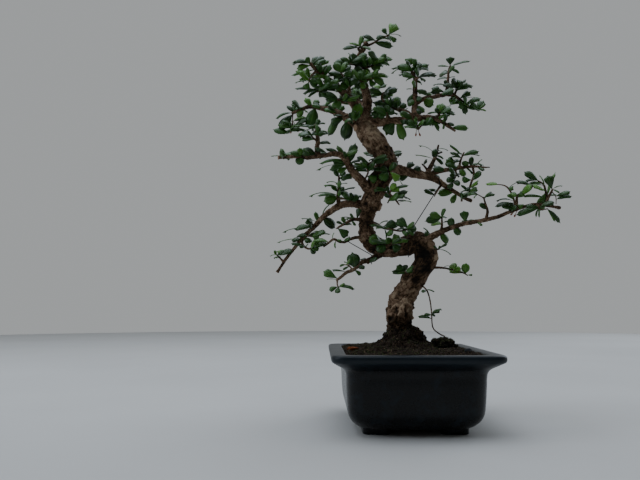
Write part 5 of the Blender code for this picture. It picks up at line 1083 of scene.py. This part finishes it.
def barked(name, routes, voxel, rounds):
    """Stems fused into one skin, flared where they leave their parent, and given lumps, fissures and scars.
    The skin carries these as attributes: its bark's lighter and darker stretches, which are partly its own
    colour and partly painted highlights and painted shade; the darkening of its fissures, which is partly
    painted shade, together with painted shade in the scars' pits and painted highlights on their rims; and
    its cut faces."""
    lines = []
    for route in routes:
        line = stem_line(route, 1.2 * MM)
        if name != "trunk":
            run = 0.0
            base = line[0].w
            for before, knot in zip(line, line[1:]):
                run += (knot.xyz - before.xyz).length
                knot.w *= 1 + 0.35 * math.exp(-run / (1.6 * base))
            line[0].w *= 1.35
        lines.append(line)
    skin = fused(name, tubes(name, lines, 4), voxel, rounds)
    guide = kdtree.KDTree(sum(len(line) for line in lines))
    knots = []
    for line in lines:
        run = 0.0
        for k, knot in enumerate(line):
            ahead = (line[min(k + 1, len(line) - 1)].xyz - line[max(k - 1, 0)].xyz)
            run += (knot.xyz - line[max(k - 1, 0)].xyz).length
            guide.insert(knot.xyz, len(knots))
            knots.append((knot.xyz, ahead.normalized(), run, knot.w))
    guide.balance()
    scars = [(at_depth(x, y, z), reach * MM, rim * MM, pit * MM)
             for x, y, z, reach, rim, pit in SCARS] if name == "trunk" else []
    cuts = [(at_depth(x, y, z), reach * MM) for x, y, z, reach in CUTS]
    places, tones_and_painted_light, cracks, faces = [], [], [], []
    for vert in skin.vertices:
        co, normal = vert.co.copy(), vert.normal.copy()
        middle, ahead, run, radius = knots[guide.find(co)[1]]
        out = co - middle
        gnarl = 1 + max(-0.4, near(co - ZERO, GNARLS)) if name == "trunk" else 1
        grain = 0.22 * radius + 0.0007
        down = run + out.dot(ahead)
        across = out / grain
        across.z += 0.45 * down / grain
        crack = max(0.0, 1 - abs(noise.noise(across)) / 0.13)
        lump = noise.noise(co / (0.9 * radius + 0.0015)) * 0.16 * radius
        ridge = noise.noise(co / (0.35 * radius + 0.001)) * 0.11 * radius
        flake = noise.noise(co / 0.0011) * min(0.035 * radius, 0.00025)
        push = gnarl * (lump + ridge + flake - crack * min(0.075 * radius, 0.0008))
        dark = 0.0
        for place, reach, rim, pit in scars:
            away = (co - place).length / reach
            if away < 2.5:
                push += rim * math.exp(-((away - 1) / 0.35) ** 2) - pit * math.exp(-(away / 0.6) ** 2)
                # the scar's pit is darkened with painted shade, and its rim lightened with a painted
                # highlight
                dark += 0.9 * math.exp(-(away / 0.6) ** 2) - 0.35 * math.exp(-((away - 1) / 0.4) ** 2)
        bare = 0.0
        for place, reach in cuts:
            away = (co - place).length / reach
            bare = max(bare, min(1.0, max(0.0, (1.15 - away) / 0.3)))
        places.append(co + normal * push * (1 - 0.8 * bare))
        # stretches of own colour, painted highlight and painted shade, and darker thin twigs
        tones_and_painted_light.append(near(co - ZERO, BARK_TONES_AND_PAINTED_LIGHT) + (0.1 if radius > 0.003 else -0.15))
        cracks.append(min(1.0, crack + max(dark, -0.4)))
        faces.append(bare)
    skin.vertices.foreach_set("co", [c for place in places for c in place])
    set_values(skin, tone=tones_and_painted_light, crack=cracks, cut=faces)
    skin.shade_smooth()
    skin.update()
    return skin


# ---------------------------------------------------------------- leaves
# corner points (share of length, share of half width) of the flat shape that is tested for clearance
CARD = [(0.25, 0), (0.66, 1), (0.96, 0.4), (0.96, -0.4), (0.66, -1)]


def pose_of(base, tip, turn):
    """(length, axis, side, up) of a leaf: edge-on to the viewer at a turn of 0 degrees, and square
    on at 90."""
    axis = tip - base
    length = axis.length
    axis = axis.normalized()
    viewer = ZERO + VIEWPOINT * MM - base
    facing = (viewer - axis * viewer.dot(axis)).normalized()
    edge_on = axis.cross(facing)
    if edge_on.z < 0:
        edge_on.negate()
    angle = math.radians(turn)
    up = edge_on * math.cos(angle) + facing * math.sin(angle)
    return length, axis, up.cross(axis), up


def card_of(base, tip, width, turn):
    """The leaf as a flat card, to test what it would cut."""
    length, axis, side, up = pose_of(base, tip, turn)
    points = [
        base + axis * (u * length) + side * (v * width / 2 * MM)
        + up * (0.3 * u * (1 - u) * length) for u, v in CARD
    ]
    return BVHTree.FromPolygons(points, [list(range(len(CARD)))])


def nearest_on(routes, x, z):
    """The point of the twigs nearest to (x, z) on the elevation."""
    best = None
    for route in routes:
        for a, b in zip(route, route[1:]):
            a, b = Vector(a), Vector(b)
            run = Vector((b.x - a.x, b.z - a.z))
            t = Vector((x - a.x, z - a.z)).dot(run) / max(run.length_squared, 1e-9)
            point = a.lerp(b, min(max(t, 0.05), 0.92))
            away = math.hypot(point.x - x, point.z - z)
            if best is None or away < best[0]:
                best = (away, point)
    return best[1]


def jittered(root, rng):
    """No two leaves grow from quite the same point."""
    return root + Vector([rng.uniform(-0.25, 0.25) for _ in range(3)]) * MM


def drawn_leaf(routes, spec, rng):
    """A leaf whose ends, width and turn are drawn. make(offset) moves its tip in depth."""
    x0, z0, x1, z1, width, turn = spec
    base = nearest_on(routes, x0, z0)
    root = jittered(at_depth(*base.xyz), rng)
    lean = rng.uniform(-4, 2)
    spread = max(0, 13 - math.hypot(x1 - base.x, z1 - base.z)) * 0.8

    def make(offset):
        return root, at_depth(x1, base.y + lean - spread + offset, z1), width, turn

    return make


# more leaves than the limbs list, as a share of those listed, and how much wider they are
MORE_LEAVES = 0.5
CROWN_LEAVES = 1.2
INNER_WIDTH = 1.1
# a filler leaf's length in mm, its width as a share of that, and its turn in degrees
FILLER_LENGTHS = (14, 21)
FILLER_SHARES = (0.36, 0.46)
FILLER_TURNS = (10, 52)
GOLDEN_ANGLE = 137.5  # degrees from one filler leaf's heading to the next one's
# where a leaf's tip is tried: in mm of depth if it is drawn, and in steps of 9 degrees if not
DRAWN_OFFSETS = [0, -3, 3, -6, 6, -9, 9, -12, 12, -15, 15, -19, 19]
FILLER_OFFSETS = [0, 2, 4, 6, 8, 10, 12, 14, 16, 18, 20, 22, 24, 26, 28]


def filler_leaf(routes, number, rng, plump=1.0):
    """A leaf that isn't drawn. Its number gives its twig and its heading, which make(offset)
    turns."""
    route = routes[number % len(routes)]
    t = rng.uniform(0.3, 1.0) * (len(route) - 1)
    k = min(int(t), len(route) - 2)
    base = Vector(route[k]).lerp(Vector(route[k + 1]), t - k)
    root = jittered(at_depth(*base.xyz), rng)
    length = rng.uniform(*FILLER_LENGTHS)
    width = length * rng.uniform(*FILLER_SHARES) * plump
    turn = rng.uniform(*FILLER_TURNS)
    start = number * GOLDEN_ANGLE + rng.uniform(-20, 20)

    def make(offset):
        angle = math.radians(start + 9 * offset)
        away = Vector((math.cos(angle), math.sin(angle), 0.25)).normalized()
        return root, root + away * length * MM, width, turn

    return make


def leaf_points(name, poses, rng):
    """A mesh of points, one for each leaf, that carry what the leaves tree needs."""
    mesh = bpy.data.meshes.new(name)
    mesh.from_pydata([pose[0] for pose in poses], [], [])
    columns = {label: [] for label in ("turn", "size", "up", "arch", "droop", "cup", "ripple",
                                       "tint", "fresh", "form")}
    for base, tip, width, turn in poses:
        length, axis, side, up = pose_of(base, tip, turn)
        half = width / 2 * MM
        front = (tip - ZERO) / MM
        bright = sum(math.exp(-((front.x - x) ** 2 + (front.z - z) ** 2) / reach ** 2)
                     for x, z, reach in FRESH)
        columns["turn"].append(Matrix((axis, side, up)).transposed().to_quaternion())
        columns["size"].append((length, half, 1.0))
        columns["up"].append(up)
        columns["arch"].append(length * rng.uniform(0.05, 0.13))
        columns["droop"].append(length * rng.uniform(-0.02, 0.14))
        columns["cup"].append(half * rng.uniform(0.1, 0.45))
        columns["ripple"].append(half * rng.uniform(0.02, 0.09))
        columns["tint"].append(rng.uniform(0.0, 0.5))
        columns["fresh"].append(min(1.0, 0.9 * bright + max(0.0, rng.uniform(-0.6, 0.35))))
        slim = width * MM < 0.46 * length
        columns["form"].append(2 if slim else rng.choice((0, 1, 2)))
    for label, values in columns.items():
        kind = LEAF_VALUES.get(label, "FLOAT")
        key = "vector" if kind == "FLOAT_VECTOR" else "value"
        flat = values
        if kind in ("QUATERNION", "FLOAT_VECTOR"):
            flat = [part for value in values for part in value]
        mesh.attributes.new(label, kind, "POINT").data.foreach_set(key, flat)
    return mesh


def placed_leaves(stems):
    """Each limb's leaf poses, moved or turned where a leaf would cut another or a neighbour's stem.
    A drawn leaf that finds no room stays as drawn, and a filler leaf is left out."""
    rng = random.Random(SEED)
    taken = []
    out = {}
    for name, (_, twigs, drawn, fillers) in LIMBS.items():
        others = [tree for other, tree in stems.items() if other != name]
        jobs = [(drawn_leaf(twigs, spec, rng), DRAWN_OFFSETS) for spec in drawn]
        jobs += [(filler_leaf(twigs, k, rng), FILLER_OFFSETS) for k in range(fillers)]
        share = CROWN_LEAVES if "crown" in name or "shelf" in name else MORE_LEAVES
        more = round(share * (len(drawn) + fillers))
        jobs += [(filler_leaf(twigs, k + 1, rng, INNER_WIDTH), FILLER_OFFSETS)
                 for k in range(more)]
        out[name] = []
        for make, offsets in jobs:
            for offset in offsets:
                pose = make(offset)
                card = card_of(*pose)
                if not any(card.overlap(other) for other in taken + others):
                    break
            else:
                if offsets is FILLER_OFFSETS:
                    continue
                pose = make(0)
            taken.append(card_of(*pose))
            out[name].append(pose)
    return out


# ---------------------------------------------------------------- pieces
def grown_tree(bark, leaf, moss, soil):
    """The trunk, and each limb with its twigs and leaves."""
    trunk = new_object("trunk_wood", barked("trunk", TRUNK_ROUTES, 0.8 * MM, 2), bark)
    finished(trunk, "bark", "trunk")

    def low(face):
        middle = face.calc_center_median()
        return middle.z <= ZERO.z + (MOSS_LINE + 9 * noise.noise(middle / 0.006)) * MM

    mossy = part_of(trunk.data, "mossy_foot", low)
    for name, upright, per_area, matter in (("moss_on_roots", True, 1400000.0, moss),
                                            ("crumbs_on_roots", False, 260000.0, soil)):
        made = grown_by(scatter_tree(name + "_tree", upright), new_object("spread", mossy.copy()),
                        Per_Square_Metre=per_area, Least=0.0009, Most=0.003, Patchiness=0.35,
                        Seed=SEED, Roughness=0.0012, Matter=matter)
        finished(new_object(name, made), "bark")
    stems, wooden = {}, {}
    for name, (_, routes, _, _) in LIMBS.items():
        finest = min(radius for route in routes for *_, radius in route)
        voxel = min(0.55, max(0.3, 0.6 * finest)) * MM
        stems[name] = barked(name, routes, voxel, 3)
        wooden[name] = surface_of(tubes(name, [stem_line(route, 10 * MM) for route in routes], 0))
    wooden["trunk"] = surface_of(trunk.data)
    tree = leaves_tree()
    for number, (name, poses) in enumerate(placed_leaves(wooden).items()):
        stem = new_object(name + "_stem", stems[name], bark)
        points = new_object(name + "_points", leaf_points(name, poses, random.Random(SEED + number)))
        mesh = grown_by(tree, points, Rows=9, Columns=5, Thickness=0.0005, Stem=stem, Leaf=leaf)
        drop(stem)
        finished(new_object("grown_" + name, mesh), "foliage", name)


def pot_rings(levels):
    """Smooth rings of points from levels (z, half width, corner radius) of the pot."""
    rings = []
    for z, half, corner in smoothed(levels, 1.4):
        ring = rounded_ring(half, half + POT_END, corner, 12, 6)
        rings.append([in_pot(x, y, z) for x, y in ring])
    return rings


def moulded_pot(material):
    """The pot's shell, its four low feet and its two drain holes, as one moulding."""
    shell = new_object("moulded_pot", lofted("pot", pot_rings(POT_OUTSIDE) + pot_rings(POT_INSIDE)))
    tools = []
    for sx in (-1, 1):
        for sy in (-1, 1):
            shape = bmesh.new()
            centre = in_pot(sx * FOOT_AT[0], sy * FOOT_AT[1], POT_FLOOR + FOOT_SIZE[2] / 2)
            size = Matrix.Diagonal((*(Vector(FOOT_SIZE) * MM), 1))
            bmesh.ops.create_cube(shape, size=1, matrix=Matrix.Translation(centre) @ size)
            upright = [e for e in shape.edges if abs(e.verts[0].co.z - e.verts[1].co.z) > MM]
            bmesh.ops.bevel(shape, geom=upright, offset=7 * MM, segments=6, profile=0.5,
                            affect="EDGES")
            low = [e for e in shape.edges if all(v.co.z < pot_low.z + MM for v in e.verts)]
            bmesh.ops.bevel(shape, geom=low, offset=0.9 * MM, segments=3, profile=0.5,
                            affect="EDGES")
            tools.append(("UNION", shape))
    for sy in (-1, 1):
        shape = bmesh.new()
        bmesh.ops.create_cone(
            shape, cap_ends=True, segments=32, radius1=DRAIN_HOLE_RADIUS * MM,
            radius2=DRAIN_HOLE_RADIUS * MM, depth=20 * MM,
            matrix=Matrix.Translation(in_pot(0, sy * DRAIN_HOLE_AT, 5)),
        )
        tools.append(("DIFFERENCE", shape))
    operands = []
    for operation, shape in tools:
        operands.append(new_object("tool", written(shape, "tool")))
        modifier = shell.modifiers.new("shape", "BOOLEAN")
        modifier.operation = operation
        modifier.object = operands[-1]
    mesh = evaluated_mesh(shell)
    drop(*operands)
    mesh.shade_smooth()
    mesh.set_sharp_from_angle(angle=math.radians(48))
    finished(new_object("moulded_pot", mesh, material), "pot", "pot")


def soil_height(x, y):
    """The soil's level: a little domed, crumbly, with a mound round the trunk. All in mm."""
    edge = max(abs(x) / SOIL_HALF, abs(y) / (SOIL_HALF + POT_END))
    middle, height, spread_x, spread_y = MOUND
    mound = height * math.exp(-(((x - middle) / spread_x) ** 2 + (y / spread_y) ** 2))
    rough = 0.0
    for size, most in ((17, 2.2), (6, 2.0), (2.4, 1.1)):
        rough += most * noise.noise(Vector((x, y, 40)) / size)
    return SOIL_TOP + SOIL_DOME * (1 - edge ** 2) + mound + rough * (1 if edge < 0.97 else 0.4)


def potting_soil(matter, moss, fibre):
    """The soil, with its crumbs, bits of bark and moss."""
    rings = []
    for z in (60, 66, SOIL_TOP - 1):
        ring = rounded_ring(SOIL_HALF - 1.2, SOIL_HALF - 1.2 + POT_END, 9, 14, 16)
        rings.append([in_pot(x, y, z) for x, y in ring])
    for step in range(58):
        share = 1 - step / 58.5
        half = (SOIL_HALF - 0.2) * share
        corner = max(10 * share, 0.55 * half * (1 - share))
        ring = rounded_ring(half, (SOIL_HALF - 0.2 + POT_END) * share, corner, 14, 16)
        rings.append([in_pot(x, y, soil_height(x, y)) for x, y in ring])
    mesh = lofted("soil", rings)
    mesh.shade_smooth()
    set_values(mesh, tint=[0.35] * len(mesh.vertices))
    finished(new_object("potting_soil", mesh, matter), "soil", "soil")
    brim = ZERO.z + (SOIL_TOP - 0.6) * MM
    top = part_of(mesh, "soil_top",
                  lambda face: face.normal.z >= 0.1 and face.calc_center_median().z >= brim)
    crumbs = scatter_tree("crumbs_on_soil", upright=False)
    tufts = scatter_tree("tufts_on_soil", upright=True)
    for name, tree, values in (
        ("soil_crumbs", crumbs, {"Per_Square_Metre": 300000.0, "Least": 0.0006, "Most": 0.0028,
                                 "Patchiness": 0.15, "Seed": SEED, "Roughness": 0.0014,
                                 "Matter": matter}),
        ("bark_bits", crumbs, {"Per_Square_Metre": 42000.0, "Least": 0.0006, "Most": 0.0017,
                               "Patchiness": 0.35, "Seed": SEED + 1, "Roughness": 0.0018,
                               "Matter": fibre}),
        ("moss_tufts", tufts, {"Per_Square_Metre": 1100000.0, "Least": 0.001, "Most": 0.0032,
                               "Patchiness": 0.46, "Seed": SEED + 2, "Roughness": 0.0012,
                               "Matter": moss}),
    ):
        made = grown_by(tree, new_object("spread", top.copy()), **values)
        finished(new_object(name, made), "soil")


def root_fibres(material):
    """Fine dead rootlets and stalks that lie on the soil."""
    rng = random.Random(SEED + 5)
    lines = []
    for _ in range(230):
        x = rng.uniform(-SOIL_HALF + 6, SOIL_HALF - 6)
        y = rng.uniform(-1, 1) * (SOIL_HALF + POT_END - 8)
        heading = rng.uniform(0, 2 * math.pi)
        radius = rng.uniform(0.13, 0.42)
        lift = rng.uniform(0.3, 2.2)
        knots = []
        steps = rng.randint(4, 8)
        for k in range(steps):
            share = k / (steps - 1)
            level = soil_height(x, y) + 0.6 + lift * math.sin(math.pi * share)
            knots.append((*in_pot(x, y, level), radius * (1 - 0.5 * share) * MM))
            heading += rng.uniform(-0.6, 0.6)
            x += 2.0 * math.cos(heading)
            y += 2.0 * math.sin(heading)
            edge = SOIL_HALF - 2
            x, y = max(-edge, min(edge, x)), max(-edge - POT_END, min(edge + POT_END, y))
        lines.append(smoothed(knots, 1.0 * MM))
    mesh = tubes("root_fibres", lines, 0)
    mesh.shade_smooth()
    set_values(mesh, tint=[0.5 + 0.5 * math.sin(k // 24) for k in range(len(mesh.vertices))])
    finished(new_object("root_fibres", mesh, material), "soil")


def dry_calyxes(material):
    """What is left of last year's flowers: short stalks that end in a small dry cup."""
    lines = []
    for x, z, end_x, end_z in CALYXES:
        base = min((nearest_on(twigs, x, z) for _, twigs, _, _ in LIMBS.values()),
                   key=lambda spot: math.hypot(spot.x - x, spot.z - z))
        start, end = at_depth(*base.xyz), at_depth(end_x, base.y - 2, end_z)
        knots = [(*start.lerp(end, share), radius * MM) for share, radius in CALYX_SHAPE]
        lines.append(smoothed(knots, 0.8 * MM))
    mesh = tubes("dry_calyxes", lines, 1)
    mesh.shade_smooth()
    set_values(mesh, tint=[0.6] * len(mesh.vertices))
    finished(new_object("dry_calyxes", mesh, material), "foliage")


def rough_lump(name, material, centre, half, turn, lumps, subdivisions=4):
    """A loose lump: a sphere pushed in and out by noise of (size, depth) in mm."""
    shape = bmesh.new()
    bmesh.ops.create_icosphere(shape, subdivisions=subdivisions, radius=1)
    spin = Matrix.Rotation(math.radians(turn), 3, "Z")
    for vert in shape.verts:
        grown = vert.co * (1 + sum(
            depth * noise.noise((vert.co * max(half) + Vector(centre)) / size) for size, depth in lumps
        ))
        vert.co = ZERO + (Vector(centre) + spin @ Vector(
            [part * side for part, side in zip(grown, half)])) * MM
    mesh = written(shape, name)
    mesh.shade_smooth()
    set_values(mesh, tint=[0.4] * len(mesh.vertices))
    return new_object(name, mesh, material)


def loose_things(matter, moss, chip, stone):
    """What lies on the soil: a clod with moss on it, a chip of bark and a small stone."""
    places = {name: place for name, *place in LOOSE}
    clod = rough_lump("clod_of_soil", matter, *places["soil_clod"],
                      [(6, 0.35), (2.5, 0.3), (1.1, 0.2)], 5)
    finished(clod, "soil", "soil_clod")
    tufts = scatter_tree("tufts_on_clod", upright=True)
    crumbs = scatter_tree("crumbs_on_clod", upright=False)
    for name, tree, density, least, most, what in (
        ("clod_moss", tufts, 1500000.0, 0.001, 0.0028, moss),
        ("clod_crumbs", crumbs, 500000.0, 0.0006, 0.0015, matter),
    ):
        made = grown_by(tree, new_object("spread", clod.data.copy()), Per_Square_Metre=density,
                        Least=least, Most=most, Patchiness=0.4, Seed=SEED, Roughness=0.001,
                        Matter=what)
        finished(new_object(name, made), "soil")
    finished(rough_lump("chip_of_bark", chip, *places["bark_chip"],
                        [(4, 0.5), (1.5, 0.3)]), "chip", "bark_chip")
    finished(rough_lump("dark_stone", stone, *places["stone"],
                        [(5, 0.35), (2, 0.12)]), "stone", "stone")


def training_wires(material):
    """Each guy is a strand doubled round both limbs, whose two plies are twisted together."""
    for name, low, high, radius in GUY_WIRES:
        knots = []
        for (x, y, z, size), start in ((low, 120), (high, -60)):
            for k in range(11):
                angle = math.radians(start + 30 * k)
                knots.append((*at_depth(x, y + size * math.cos(angle), z + size * math.sin(angle)), 0))
        path = smoothed(knots + knots[:1], 0.5 * MM)
        plies = []
        for ply in (0, math.pi):
            line = []
            for k, point in enumerate(path):
                ahead = (path[(k + 1) % len(path)] - path[k - 1]).xyz.normalized()
                out = ahead.cross(Vector((1, 0, 0))).normalized()
                angle = ply + 2 * math.pi * k / 7
                turned = Matrix.Rotation(angle, 3, ahead) @ out
                line.append(Vector((*(point.xyz + turned * 0.5 * radius * MM), 0.55 * radius * MM)))
            plies.append(line)
        mesh = tubes(name, plies, 1)
        mesh.shade_smooth()
        finished(new_object(name.replace("guy_wire", "twisted_guy"), mesh, material), "wire", name)


# ---------------------------------------------------------------- stage
DAYLIGHT = "#e6f0ff"
FLOOR_RADIUS = 2.6  # m


def area_light(name, place, aim, size, power):
    """A square lamp with its size in metres and its power in watts."""
    data = bpy.data.lights.new(name, "AREA")
    data.size = size
    data.energy = power
    data.color = linear(DAYLIGHT)[:3]
    obj = bpy.data.objects.new(name, data)
    obj.location = place
    obj.rotation_euler = (Vector(aim) - Vector(place)).to_track_quat("-Z", "Y").to_euler()
    bpy.context.scene.collection.objects.link(obj)


def stage():
    """A pale floor, a soft sky and wide lamps, and the camera where the viewer stood."""
    made, tree, shader = principled("pale_matte_floor", Roughness=0.9, Specular_IOR_Level=0.2)
    place = add(tree, "ShaderNodeTexCoord").outputs["Object"]
    tooth = add(tree, "ShaderNodeTexNoise", {"Vector": place, "Scale": 1 / 0.3, "Detail": 3.0})
    colour = add(tree, "ShaderNodeValToRGB", {"Fac": tooth},
                 stops=[(0.3, "#c9c9c6"), (0.7, "#cfcfcc")])
    tree.links.new(colour.outputs[0], shader.inputs["Base Color"])
    shape = bmesh.new()
    bmesh.ops.create_circle(shape, cap_ends=True, segments=96, radius=FLOOR_RADIUS)
    new_object("floor", written(shape, "floor"), made)
    world = bpy.data.worlds.new("soft_sky")
    world.use_nodes = True
    sky = world.node_tree
    heading = add(sky, "ShaderNodeSeparateXYZ", {0: add(sky, "ShaderNodeTexCoord").outputs["Generated"]})
    glow = add(sky, "ShaderNodeMapRange", {"Value": heading.outputs["Y"], "From Min": -0.6,
                                           "From Max": 0.8, "To Min": 0.15, "To Max": 0.63})
    background = sky.nodes["Background"]
    background.inputs["Color"].default_value = linear("#c9cccd")
    sky.links.new(glow.outputs[0], background.inputs["Strength"])
    bpy.context.scene.world = world
    area_light("sky_above", (-0.3, 0.2, 2.2), (0, 0, 0.2), 2.2, 34)
    area_light("window_left", (-2.2, -0.5, 1.2), (0, 0, 0.25), 1.2, 15)
    area_light("wall_behind", (1.6, 1.8, 1.2), (0, 0, 0.25), 1.6, 15)
    data = bpy.data.cameras.new("viewer")
    data.sensor_width = 36
    data.lens = LENS
    camera = bpy.data.objects.new("viewer", data)
    camera.location = ZERO + VIEWPOINT * MM
    camera.rotation_euler = (math.radians(TILT), 0, 0)
    bpy.context.scene.collection.objects.link(camera)
    bpy.context.scene.camera = camera


bark = bark_material()
soil = earth_material("dark_potting_soil", [(0.3, "#090705"), (0.75, "#1f1812"), (1.0, "#3a2e24")], 1.2)
moss = earth_material("olive_moss", [(0.35, "#15170c"), (0.7, "#343822"), (1.0, "#5d6240")], 1.0, 0.9)
fibre = earth_material("dead_root_fibre", [(0.4, "#17110b"), (0.8, "#4a3a2b"), (1.0, "#7d6a54")], 1.0)
chip = earth_material("orange_brown_bark_chip", [(0.3, "#3c1d0e"), (0.8, "#8a4a26"), (1.0, "#b98455")], 2.0)
stone = earth_material("dark_basalt", [(0.3, "#15171a"), (0.8, "#2c2f33"), (1.0, "#4c4f52")], 1.0, 0.7)
stage()
grown_tree(bark, leaf_material(), moss, soil)
moulded_pot(plastic_material())
potting_soil(soil, moss, fibre)
root_fibres(fibre)
dry_calyxes(chip)
loose_things(soil, moss, chip, stone)
training_wires(wire_material())
